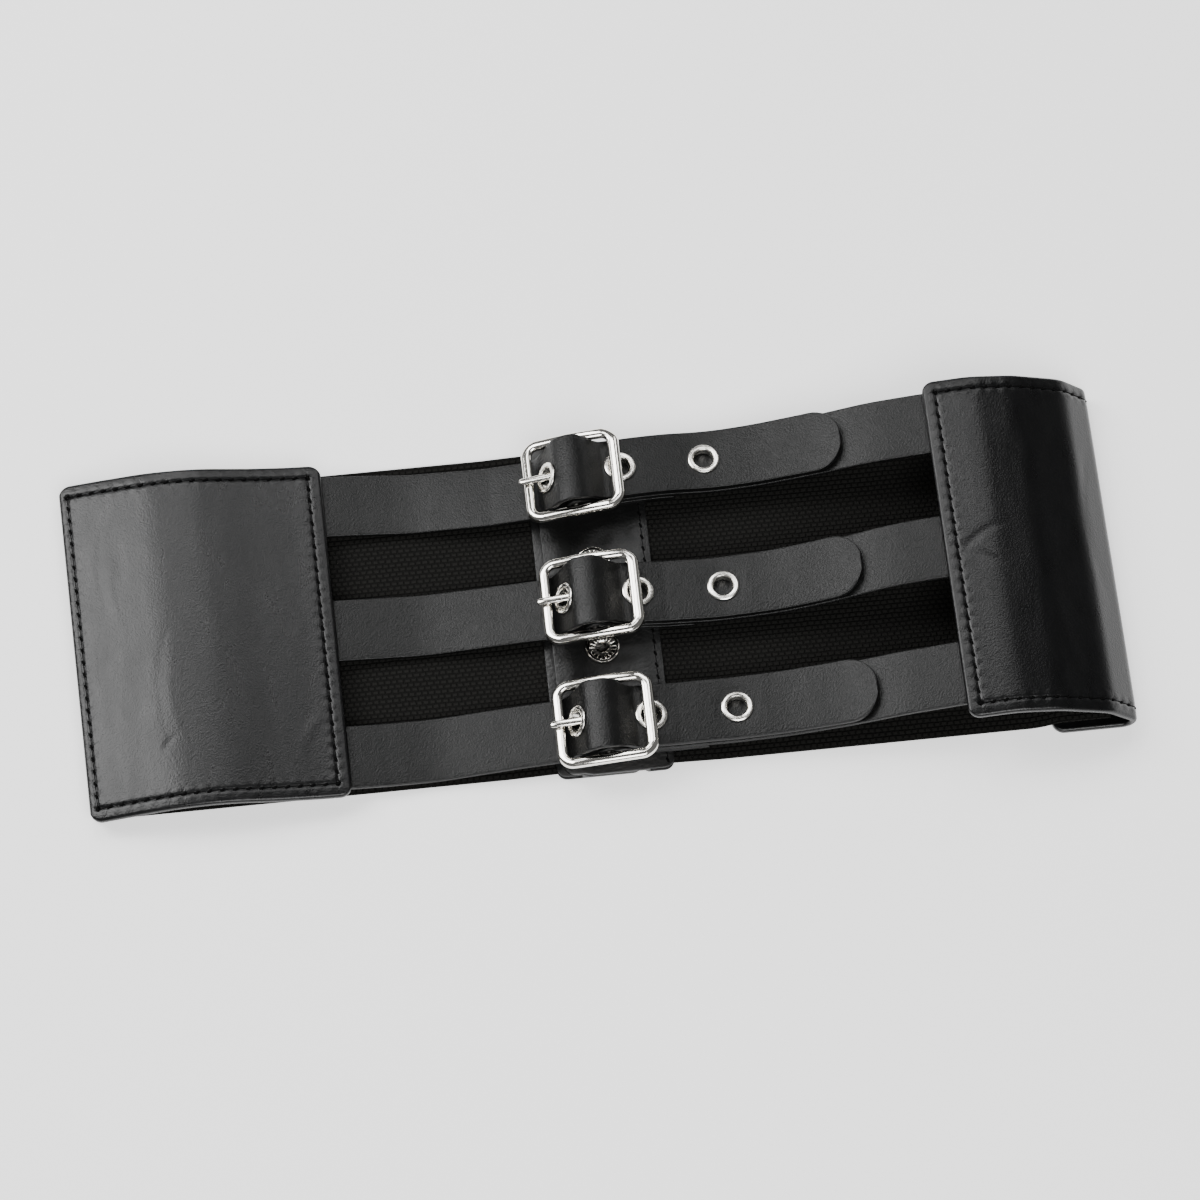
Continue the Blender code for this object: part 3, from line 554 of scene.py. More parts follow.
class Buckle:
    """Place of a row's buckle: its bars' centres, its tilt and its roll."""

    def __init__(self, strap):
        self.strap = strap
        half_span = (FRAME_LENGTH - FRAME_WIRE) / 2
        bar = FRAME_HEIGHT / 2
        raised = STRAP_WIDTH / 2 * math.sin(abs(strap.roll))
        self.clear = FRAME_WIRE / 2 + GAP + METAL_GAP + EYELET_HEIGHT + HALF_STRAP
        left_z = FORK_HEIGHT + GAP + TAB_THICKNESS + 2 * GAP + HALF_STRAP + raised + self.clear
        along = Vector((math.cos(strap.tilt), math.sin(strap.tilt)))
        self.centre = Vector((-strap.offset * BUCKLE_OFFSET, left_z + half_span * along.y))
        self.left = self.centre - along * half_span
        self.right = self.centre + along * half_span
        self.up = Vector((-along.y, along.x))
        self.prong_height = bar + METAL_GAP + PRONG_THICKNESS / 2
        self.run_z = self.right.y - bar - GAP - METAL_GAP - EYELET_HEIGHT - HALF_STRAP

    def run_at(self, x):
        """Point of the hole strap's run below the right bar."""
        return Vector((x, self.run_z - (x - self.right.x) * math.tan(RUN_SLOPE)))

    def matrix(self):
        """Place of the buckle as a rigid body."""
        y = strap_centre(self.strap, self.centre.x)
        place = Matrix.Translation((self.centre.x + SHIFT_X, y + SHIFT_Y, self.centre.y))
        return place @ Matrix.Rotation(self.strap.roll, 4, "X") @ Matrix.Rotation(-self.strap.tilt, 4, "Y")

    def place(self, x, across, z):
        """Place of a strap's point: rolled with the buckle and following the row's middle line."""
        roll = self.strap.roll * held(x)
        above = z - self.centre.y
        y = strap_centre(self.strap, x) + across * math.cos(roll) - above * math.sin(roll)
        return in_place(x, y, self.centre.y + across * math.sin(roll) + above * math.cos(roll))

    def buckle_strap_route(self):
        """Middle line of the buckle strap, from its fold-back end round the bar to the right panel."""
        lap = stretch(moved_aside(right_panel_route(), -(PANEL_THICKNESS + GAP + HALF_STRAP)), 0, STRAP_LAP)
        drop = STRAP_THICKNESS + LAYER_GAP
        start = INNER_TAB_RIGHT
        way = lap[0].x - start
        corners = [self.run_at(self.centre.x + ARCH_FOOT + JOINT_LENGTH / 3),
                   self.run_at(start + JOINT_LENGTH * 2 / 3)]
        corners = [(point.x, point.y - drop, APPROACH_LENGTH) for point in corners]
        slack = self.strap.slack
        heights = [height * (slack + (1 - slack) * share ** 3) for share, height in RIGHT_SLACK]
        corners += [(start + way * share, lap[0].y * height, RIGHT_SLACK_BEND)
                    for (share, _), height in zip(RIGHT_SLACK, heights)]
        radius = CENTRE_BAR_RADIUS + GAP + HALF_STRAP
        upper_angle = tangent_angle(Vector(corners[0][:2]), self.centre, radius, 1)
        foot = self.centre + radius * Vector((math.cos(upper_angle), math.sin(upper_angle)))
        upper = rounded([(foot.x, foot.y, 0)] + corners
                        + [(lap[0].x, lap[0].y, RIGHT_JOINT_BEND), (lap[-1].x, lap[-1].y, 0)])
        upper = [point for point in upper if point.x < lap[0].x - JOINT_LENGTH] + lap
        back = STRAP_THICKNESS + GAP
        under = moved_aside([point for point in upper if point.x > corners[0][0]], -back)
        fold_end = self.centre.x + FOLD_BACK_LENGTH
        last = point_at(under, distance_to_x(under, fold_end))
        under = [point for point in under if point.x < fold_end - JOINT_LENGTH / 3] + [last]
        lower_angle = tangent_angle(under[0], self.centre, radius, -1)
        wrap = arc(self.centre, radius, lower_angle, upper_angle - 2 * math.pi)
        return under[::-1] + wrap + upper[1:]

    def hole_strap_route(self):
        """Middle line of the hole strap, from the left panel over the bar to beyond its tip."""
        panel = moved_aside(left_panel_route(), -(PANEL_THICKNESS + GAP + HALF_STRAP))
        lap = stretch(panel, lengths(panel)[-1] - STRAP_LAP, lengths(panel)[-1])
        middle = (APPROACH_SLOPE + ARCH_SLOPE) / 2
        bend = self.clear / math.cos((ARCH_SLOPE - APPROACH_SLOPE) / 2)
        foot = self.left + bend * Vector((math.sin(middle), -math.cos(middle)))
        near = foot - Vector((math.cos(APPROACH_SLOPE), math.sin(APPROACH_SLOPE))) * APPROACH_LENGTH
        bed = ELASTIC_THICKNESS + GAP + HALF_STRAP
        way = near.x - lap[-1].x
        corners = [(near.x - way * share, bed + LEFT_SLACK_HEIGHT * height, LEFT_SLACK_BEND)
                   for share, height in LEFT_SLACK]
        crest = self.centre.y + CENTRE_BAR_RADIUS + GAP + STRAP_THICKNESS + ARCH_CLEARANCE + HALF_STRAP
        rise = crest - foot.y
        landing = self.run_at(self.centre.x + ARCH_FOOT)
        corners = [(lap[-1].x, lap[-1].y, LEFT_JOINT_BEND)] + corners[::-1] + [
            (near.x, near.y, APPROACH_BEND), (foot.x, foot.y, self.clear),
            (foot.x + rise / math.tan(ARCH_SLOPE), crest, ARCH_BEND),
            (self.centre.x + ARCH_BACK, crest, ARCH_BEND), (landing.x, landing.y, ARCH_BEND)]
        end = self.run_at(INNER_TAB_RIGHT + JOINT_LENGTH / 3)
        front = rounded([(lap[0].x, lap[0].y, 0)] + corners + [(end.x, end.y, 0)])
        front = lap + [point for point in front if point.x > lap[-1].x + JOINT_LENGTH]
        below = self.buckle_strap_route()
        turning = max(range(len(below)), key=lambda index: -below[index].x)
        above = moved_aside(below[turning:], STRAP_THICKNESS + LAYER_GAP)
        return front[:-1] + [point for point in above if point.x > INNER_TAB_RIGHT + JOINT_LENGTH * 2 / 3]

    def eyelet_distances(self, route):
        """Distances of the three eyelets along the hole strap; the prong goes through the first."""
        line = [(point - self.centre).dot(self.up) - self.prong_height for point in route]
        along = lengths(route)
        for index in range(1, len(route)):
            if route[index].x > self.left.x and line[index] >= 0 > line[index - 1]:
                share = -line[index - 1] / (line[index] - line[index - 1])
                first = along[index - 1] + (along[index] - along[index - 1]) * share - PRONG_PULL
                return [first + EYELET_PITCH * step for step in range(3)]
        raise ValueError("the prong misses the strap")


BUCKLES = [Buckle(strap) for strap in STRAPS]


class Bend:
    """A flat piece's way into place: along a line, square across it, and above or below it."""

    def __init__(self, route, place):
        self.route = route
        self.normals = normals(route)
        self.along = lengths(route)
        self.place = place

    def at(self, along, across, height):
        """Place of a point that lies so far along the flat piece, across it and above it."""
        index = min(max(bisect_right(self.along, along), 1), len(self.route) - 1)
        span = max(self.along[index] - self.along[index - 1], 1e-12)
        share = (along - self.along[index - 1]) / span
        point = self.route[index - 1].lerp(self.route[index], share)
        normal = self.normals[index - 1].lerp(self.normals[index], min(max(share, 0), 1)).normalized()
        point = point + normal * height
        return self.place(point.x, across, point.y)

    def matrix(self, along, across, height, reach, turn=0.0):
        """Matrix of a small part set square on the piece, with Z out of its upper face."""
        origin = self.at(along, across, height)
        forward = self.at(along + reach, across, height) - self.at(along - reach, across, height)
        forward.normalize()
        side = (self.at(along, across + reach, height) - origin).normalized()
        out = forward.cross(side).normalized()
        side = out.cross(forward)
        matrix = Matrix((forward, side, out)).transposed().to_4x4()
        matrix.translation = origin
        return matrix @ Matrix.Rotation(turn, 4, "Z")


class Seam:
    """A straight seam on a flat piece, from one needle hole to the last."""

    def __init__(self, start, end, pitch):
        self.start = Vector(start)
        self.way = Vector(end) - self.start
        self.length = self.way.length
        self.way.normalize()
        self.count = max(1, round(self.length / pitch))
        self.pitch = self.length / self.count

    def relief(self, along, across, groove):
        """Height that the seam gives the leather at a point, below zero where it pulls it down."""
        place = Vector((along, across)) - self.start
        run = place.dot(self.way)
        off = abs(self.way.cross(place))
        if off > SEAM_REACH or not -SEAM_END < run < self.length + SEAM_END:
            return 0.0
        beyond = max(0.0, -run, run - self.length)
        to_hole = run - self.pitch * min(max(round(run / self.pitch), 0), self.count)
        line = -groove * math.exp(-(off ** 2 + beyond ** 2) / GROOVE_WIDTH ** 2)
        hole = -NEEDLE_DEPTH * groove * math.exp(-(to_hole ** 2 + off ** 2) / NEEDLE_WIDTH ** 2)
        ripple = math.cos(2 * math.pi * run / self.pitch) if not beyond else 0.0
        pucker = -PUCKER_DEPTH * groove * ripple * math.exp(-((off - PUCKER_PLACE) / PUCKER_WIDTH) ** 2)
        return line + hole + pucker

    def stitches(self):
        """Middles of the stitches."""
        return [self.start + self.way * self.pitch * (step + 0.5) for step in range(self.count)]

    def holes(self):
        """Needle holes, but the last, where the next seam starts."""
        return [self.start + self.way * self.pitch * step for step in range(self.count)]


# Materials
class Finish:
    """A new material, with short ways to add its nodes and to join them."""

    def __init__(self, name):
        self.made = bpy.data.materials.new(name)
        self.made.use_nodes = True
        self.nodes = self.made.node_tree.nodes
        self.join = self.made.node_tree.links.new
        self.shader = self.nodes["Principled BSDF"].inputs

    def add(self, kind, **values):
        """Node with some of its settings and inputs set."""
        node = self.nodes.new("ShaderNode" + kind)
        for name, value in values.items():
            if hasattr(node, name):
                setattr(node, name, value)
            else:
                node.inputs[name.replace("_", " ")].default_value = value
        return node

    def place(self, kind):
        """Coordinates of a kind."""
        return self.add("TexCoord").outputs[kind]

    def mapped(self, place, scale):
        """Coordinates stretched by a scale."""
        node = self.add("Mapping", Scale=scale)
        self.join(place, node.inputs["Vector"])
        return node.outputs["Vector"]

    def texture(self, kind, place, **values):
        """Texture on the given coordinates."""
        node = self.add("Tex" + kind, **values)
        self.join(place, node.inputs["Vector"])
        return node

    def bump(self, height, strength, distance, under=None):
        """Normal with a relief, over the relief under it."""
        node = self.add("Bump", Strength=strength, Distance=distance)
        self.join(height, node.inputs["Height"])
        if under:
            self.join(under, node.inputs["Normal"])
        return node.outputs["Normal"]

    def shaded(self, pattern, tint, low, high):
        """Base colour between two strengths of a tint."""
        node = self.add("Mix", data_type="RGBA")
        node.inputs[6].default_value = [channel * low for channel in tint[:3]] + [1]
        node.inputs[7].default_value = [channel * high for channel in tint[:3]] + [1]
        self.join(pattern, node.inputs[0])
        self.join(node.outputs[2], self.shader["Base Color"])

    def glossed(self, pattern, reach, low, high):
        """Roughness between two values, over a reach of a pattern."""
        node = self.add("MapRange", From_Min=reach[0], From_Max=reach[1], To_Min=low, To_Max=high)
        self.join(pattern, node.inputs["Value"])
        self.join(node.outputs["Result"], self.shader["Roughness"])


def leather(name, tint, roughness, shine, grain, depth, mottle, drawn_out):
    """Imitation leather: fine creased grain, and soft unevenness in its gloss and level."""
    finish = Finish(name)
    place = finish.place("UV")
    cells = finish.texture("Voronoi", place, feature="SMOOTH_F1", Scale=1 / grain, Smoothness=0.6,
                           Randomness=1.0)
    pores = finish.texture("Noise", place, Scale=2.3 / grain, Detail=3.0, Roughness=0.6)
    patches = finish.texture("Noise", finish.mapped(place, (1, drawn_out, 1)), Scale=1 / mottle, Detail=4.0,
                             Roughness=0.55, Distortion=0.4)
    finish.glossed(patches.outputs["Fac"], (0.3, 0.7), roughness - 0.03, roughness + 0.04)
    finish.shaded(patches.outputs["Fac"], tint, 0.8, 1.3)
    level = finish.bump(patches.outputs["Fac"], 0.3, 0.12 * MM)
    skin = finish.bump(cells.outputs["Distance"], 0.8, depth, level)
    fine = finish.bump(pores.outputs["Fac"], 0.6, depth * 0.6, skin)
    finish.join(fine, finish.shader["Normal"])
    finish.shader["Specular IOR Level"].default_value = shine
    return finish.made


def woven(name, tint):
    """Woven elastic: short raised floats in staggered rows along the belt."""
    finish = Finish(name)
    place = finish.mapped(finish.place("UV"), (1 / MM, 1 / MM, 1 / MM))
    waver = finish.texture("Noise", place, Scale=0.5, Detail=2.0)
    bent = finish.add("VectorMath", operation="MULTIPLY_ADD")
    bent.inputs[1].default_value = (0.7, 0.5, 0)
    finish.join(waver.outputs["Color"], bent.inputs[0])
    finish.join(place, bent.inputs[2])
    rows = finish.texture("Brick", bent.outputs["Vector"], offset=0.5, squash=1.0, Scale=1.0,
                          Mortar_Size=0.42, Mortar_Smooth=1.0, Brick_Width=1.9, Row_Height=1.45)
    fibre = finish.texture("Noise", place, Scale=6.0, Detail=3.0)
    # The weave's colour follows its relief: lighter on the raised floats and darker in the sunk gaps between
    # them, painted shade
    finish.shaded(rows.outputs["Fac"], tint, 1.45, 0.65)
    sunk = finish.add("Math", operation="SUBTRACT")
    sunk.inputs[0].default_value = 1.0
    finish.join(rows.outputs["Fac"], sunk.inputs[1])
    weave = finish.bump(sunk.outputs["Value"], 0.8, 0.5 * MM)
    fuzz = finish.bump(fibre.outputs["Fac"], 0.5, 0.12 * MM, weave)
    finish.join(fuzz, finish.shader["Normal"])
    finish.shader["Roughness"].default_value = 0.85
    finish.shader["Specular IOR Level"].default_value = 0.12
    return finish.made


def plate(name, tint, roughness):
    """Nickel plate with faint waves and handling marks; bright, or darkened as painted shade."""
    finish = Finish(name)
    place = finish.place("Object")
    waves = finish.texture("Noise", place, Scale=260.0, Detail=2.0)
    marks = finish.texture("Noise", place, Scale=1100.0, Detail=4.0, Roughness=0.7)
    finish.glossed(marks.outputs["Fac"], (0.35, 0.7), roughness * 0.7, roughness * 1.6)
    finish.join(finish.bump(waves.outputs["Fac"], 0.2, 0.12 * MM), finish.shader["Normal"])
    finish.shader["Base Color"].default_value = tint
    finish.shader["Metallic"].default_value = 1.0
    return finish.made


def thread(name, tint):
    """Sewing thread with a fine twist."""
    finish = Finish(name)
    twist = finish.texture("Noise", finish.place("Object"), Scale=5200.0, Detail=2.0)
    finish.join(finish.bump(twist.outputs["Fac"], 0.6, 0.06 * MM), finish.shader["Normal"])
    finish.shader["Base Color"].default_value = tint
    finish.shader["Roughness"].default_value = 0.8
    finish.shader["Specular IOR Level"].default_value = 0.08
    return finish.made


def finish_of(kind):
    """The belt's material of a kind, made once."""
    if kind in bpy.data.materials:
        return bpy.data.materials[kind]
    look = bpy.context.scene.belt_finish
    if kind == "panel leather":
        return leather(kind, look.panel, look.panel_gloss, 0.38, 0.5 * MM, 0.055 * MM, 6 * MM, 0.35)
    if kind == "strap leather":
        return leather(kind, look.strap, look.strap_gloss, 0.32, 0.48 * MM, 0.12 * MM, 7 * MM, 1)
    if kind == "tab leather":
        return leather(kind, look.strap, look.strap_gloss + 0.05, 0.5, 0.8 * MM, 0.1 * MM, 8 * MM, 1)
    if kind == "woven elastic":
        return woven(kind, look.elastic)
    if kind == "sewing thread":
        return thread(kind, look.thread)
    if kind == "eyelet nickel":
        return plate(kind, look.nickel, look.metal_gloss + 0.1)
    # Nickel darkened to a few per cent of its colour: painted shade for the buckles' centre bars and the
    # press studs' hole and groove
    if kind == "shaded nickel":
        return plate(kind, [channel * 0.03 for channel in look.nickel[:3]] + [1], look.metal_gloss + 0.3)
    return plate(kind, look.nickel, look.metal_gloss)


# Pieces
def add_piece(name, bm, kind, node=None):
    """Piece from a bmesh, on the belt's one body, standing for the given frame node."""
    mesh = bpy.data.meshes.new(name)
    bm.to_mesh(mesh)
    bm.free()
    mesh.shade_smooth()
    mesh.materials.append(finish_of(kind))
    made = bpy.data.objects.new(name, mesh)
    bpy.context.collection.objects.link(made)
    if node:
        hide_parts(node)
    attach(made, "root")
    return made


def graded(length, step, near, corner=0.0):
    """Places of cut lines across a length: close together at both ends, then evenly spaced."""
    ends = sorted(set(near) | {corner * (1 - math.cos(QUARTER_TURN * turn / 9)) for turn in range(1, 10)})
    ends = [place for index, place in enumerate(ends) if index == 0 or place - ends[index - 1] > LEAST_CUT]
    middle = length - 2 * ends[-1]
    count = max(1, round(middle / step))
    inner = [ends[-1] + middle * index / count for index in range(1, count)]
    return ends + inner + [length - place for place in reversed(ends)]


def graded_rows(width, step, near):
    """Places of cut lines across a piece's width, from -1 to 1."""
    return [2 * place / width - 1 for place in graded(width, step, near)]


def verts_of(items):
    """The vertices among some items of a bmesh."""
    return [item for item in items if isinstance(item, bmesh.types.BMVert)]


def edges_of(items):
    """The edges among some items of a bmesh."""
    return [item for item in items if isinstance(item, bmesh.types.BMEdge)]


def edges_between(edges, verts):
    """The edges with both ends among some vertices."""
    return [edge for edge in edges if all(vert in verts for vert in edge.verts)]


def cut_flat(lines, rows, half_width, thickness, edge, holes=()):
    """A flat piece: a cut grid with holes, thickened, with rounded edges and its flat plan kept as UVs."""
    bm = bmesh.new()
    across, up = len(lines) - 1, len(rows) - 1
    bmesh.ops.create_grid(bm, x_segments=across, y_segments=up, size=0.5)
    for vert in bm.verts:
        along = lines[round((vert.co.x + 0.5) * across)]
        share = rows[round((vert.co.y + 0.5) * up)]
        vert.co = (along, share * half_width(along), 0)
    for hole, radius in holes:
        middle = Vector(hole + (0,))
        inside = [face for face in bm.faces if (face.calc_center_median() - middle).length < radius]
        bmesh.ops.delete(bm, geom=inside, context="FACES")
        for vert in {vert for side in bm.edges if side.is_boundary for vert in side.verts}:
            away = vert.co - middle
            if away.length < 1.6 * radius:
                vert.co = middle + away.normalized() * radius
    bmesh.ops.translate(bm, verts=bm.verts, vec=(0, 0, -thickness / 2))
    grown = bmesh.ops.extrude_face_region(bm, geom=bm.faces[:])
    bmesh.ops.translate(bm, verts=verts_of(grown["geom"]), vec=(0, 0, thickness))
    bmesh.ops.recalc_face_normals(bm, faces=bm.faces)
    plan = bm.loops.layers.uv.new("plan")
    total = lines[-1]
    for face in bm.faces:
        for loop in face.loops:
            rim = loop.vert.co.z * (0.0 if abs(face.normal.z) > 0.5 else 1.0)
            loop[plan].uv = (loop.vert.co.x + rim, loop.vert.co.y + rim)
    for vert in bm.verts:
        along, side, height = vert.co
        inset = min(half_width(along) - abs(side), along, total - along)
        vert.co.z -= math.copysign(min(rounding(edge, inset), 0.94 * thickness / 2), height)
    return bm


def bend(bm, way, thickness, relief, bulges=()):
    """Bend a flat piece into place, with the relief of its upper face and with its sides bulging out."""
    for vert in bm.verts:
        along, across, height = vert.co
        for middle, reach, share in bulges:
            across *= 1 + share * math.exp(-((along - middle) / reach) ** 4)
        height += relief(along, across) * min(1.0, max(0.0, height / thickness + 0.5))
        vert.co = way.at(along, across, height)
    bmesh.ops.recalc_face_normals(bm, faces=bm.faces)


def corner_cut(length, half, start_corner, end_corner):
    """Half width of a piece along its length, with rounded corners at its ends."""
    def half_width(along):
        found = half(along)
        for corner, left in ((start_corner, along), (end_corner, length - along)):
            found -= rounding(corner, left)
        return found
    return half_width


def softness(along, across, scale, seed):
    """Soft unevenness between about -0.5 and 0.5."""
    return noise.noise(Vector((along / scale, across / scale, seed))) * 0.5


def crease_relief(creases, length, width, along, across):
    """Height of the panel's soft creases at a point."""
    total = 0.0
    for share, side, half_length, turn, half_width, height in creases:
        place = Vector((along - share * length, across - side * width))
        place = turned_by(place, -math.radians(turn))
        bow = place.y + CREASE_BOW * place.x * place.x / half_length
        total += height * math.exp(-(bow / half_width) ** 2 - (place.x / half_length) ** 2)
    return total


def sew(name, way, height, seams, thickness):
    """Stitches of several seams on a bent piece, as one piece of thread."""
    bm = bmesh.new()
    for seam in seams:
        turn = math.atan2(seam.way.y, seam.way.x)
        stitch = [seam.pitch * STITCH_LENGTH] + [thickness * share for share in STITCH_SIZE]
        knot = [thickness * share for share in KNOT_SIZE]
        shapes = [(middle, turn + STITCH_SLANT, stitch) for middle in seam.stitches()]
        shapes += [(hole, turn + KNOT_SLANT, knot) for hole in seam.holes()]
        for place, angle, size in shapes:
            matrix = way.matrix(place.x, place.y, height, 0.6 * MM, angle) @ Matrix.Diagonal(size + [1])
            bmesh.ops.create_uvsphere(bm, u_segments=7, v_segments=5, radius=1,
                                      matrix=matrix @ Matrix.Rotation(QUARTER_TURN, 4, "Y"))
    add_piece(name, bm, "sewing thread")


def ring_profile(bm, points, steps, matrix):
    """Turn a (radius, height) profile round Z and set it in place."""
    verts = [bm.verts.new((radius, 0, height)) for radius, height in points]
    edges = [bm.edges.new(pair) for pair in zip(verts, verts[1:])]
    if min(radius for radius, _ in points) > 0:
        edges.append(bm.edges.new((verts[-1], verts[0])))
    bmesh.ops.spin(bm, geom=verts + edges, cent=(0, 0, 0), axis=(0, 0, 1), angle=2 * math.pi, steps=steps,
                   use_merge=True)
    bmesh.ops.remove_doubles(bm, verts=bm.verts, dist=0.005 * MM)
    bmesh.ops.recalc_face_normals(bm, faces=bm.faces)
    bmesh.ops.transform(bm, matrix=matrix, verts=bm.verts)


def softened(points, radius, closed):
    """Profile with its corners rounded."""
    corners = [(x, z, radius) for x, z in points]
    if closed:
        middle = ((points[0][0] + points[-1][0]) / 2, (points[0][1] + points[-1][1]) / 2)
        corners = [middle + (0,)] + corners + [middle + (0,)]
    line = rounded(corners)
    return [tuple(point) for point in (line[:-1] if closed else line)]


def squared_circle(bm, segments, squareness, width, height, centre, capped):
    """Circle in the YZ plane, drawn out towards a rectangle; returns its vertices."""
    made = bmesh.ops.create_circle(bm, segments=segments, radius=1, cap_ends=capped,
                                   matrix=Matrix.Rotation(QUARTER_TURN, 4, "Y"))
    for vert in made["verts"]:
        angle = math.atan2(vert.co.z, vert.co.y)
        across, up = math.cos(angle), math.sin(angle)
        reach = (abs(across) ** squareness + abs(up) ** squareness) ** (-1 / squareness)
        vert.co.y = reach * across * width / 2 + centre[0]
        vert.co.z = reach * up * height / 2 + centre[1]
    return made["verts"]


class BELT_OT_panels(bpy.types.Operator):
    """Make the two stitched panels and their seams"""

    bl_idname = "belt.panels"
    bl_label = "Panels"

    def panel(self, name, length, half, route, place, corners, creases, seed):
        """One panel with its seams, which run from corner to corner."""
        sewing = bpy.context.scene.belt_sewing
        width = 2 * half(0)
        lines = graded(length, PANEL_GRID[0], PANEL_CUTS)
        rows = graded_rows(width, PANEL_GRID[1], PANEL_CUTS)
        half_width = corner_cut(length, half, PANEL_CORNER, PANEL_CORNER)
        seams = [Seam(one, two, sewing.stitch_pitch) for one, two in zip(corners, corners[1:] + corners[:1])]
        way = Bend(moved_aside(route, -PANEL_THICKNESS / 2), place)

        def relief(along, across):
            inset = min(half_width(along) - abs(across), along, length - along)
            height = sum(seam.relief(along, across, sewing.groove) for seam in seams)
            height -= sewing.border * (1 - min(1, max(0, inset) / sewing.stitch_inset)) ** 2
            height += crease_relief(creases, length, width, along, across)
            drawn = across * PANEL_WAVE_STRETCH
            height += PANEL_WAVE * softness(along, drawn, PANEL_WAVE_LENGTH, seed)
            height += PANEL_RIPPLE * softness(along, drawn, PANEL_RIPPLE_LENGTH, seed + 5)
            return height

        bm = cut_flat(lines, rows, half_width, PANEL_THICKNESS, sewing.panel_edge)
        bend(bm, way, PANEL_THICKNESS, relief)
        add_piece(name + "_leather", bm, "panel leather", name)
        sew(name + "_seams", way, PANEL_THICKNESS / 2 - SEAM_SUNK, seams, sewing.thread)

    def execute(self, context):
        inset, fold = context.scene.belt_sewing.stitch_inset, context.scene.belt_sewing.fold_inset
        side = PANEL_WIDTH / 2 - inset
        taper = (PANEL_WIDTH - LEFT_PANEL_INNER_WIDTH) / 2
        inner_side = PANEL_WIDTH / 2 - taper - inset
        length = LEFT_PANEL_LENGTH
        corners = [(fold, -side), (fold, side), (length - inset, inner_side), (length - inset, -inner_side)]
        self.panel("left_panel", length, lambda along: PANEL_WIDTH / 2 - taper * along / LEFT_PANEL_LENGTH,
                   left_panel_route(), left_panel_place, corners, LEFT_CREASES, 3.1)
        length = RIGHT_PANEL_LENGTH
        corners = [(length - inset, side), (inset, side), (inset, -side), (length - inset, -side)]
        self.panel("right_panel", length, lambda along: PANEL_WIDTH / 2, right_panel_route(), in_place,
                   corners, RIGHT_CREASES, 8.7)
        return {"FINISHED"}


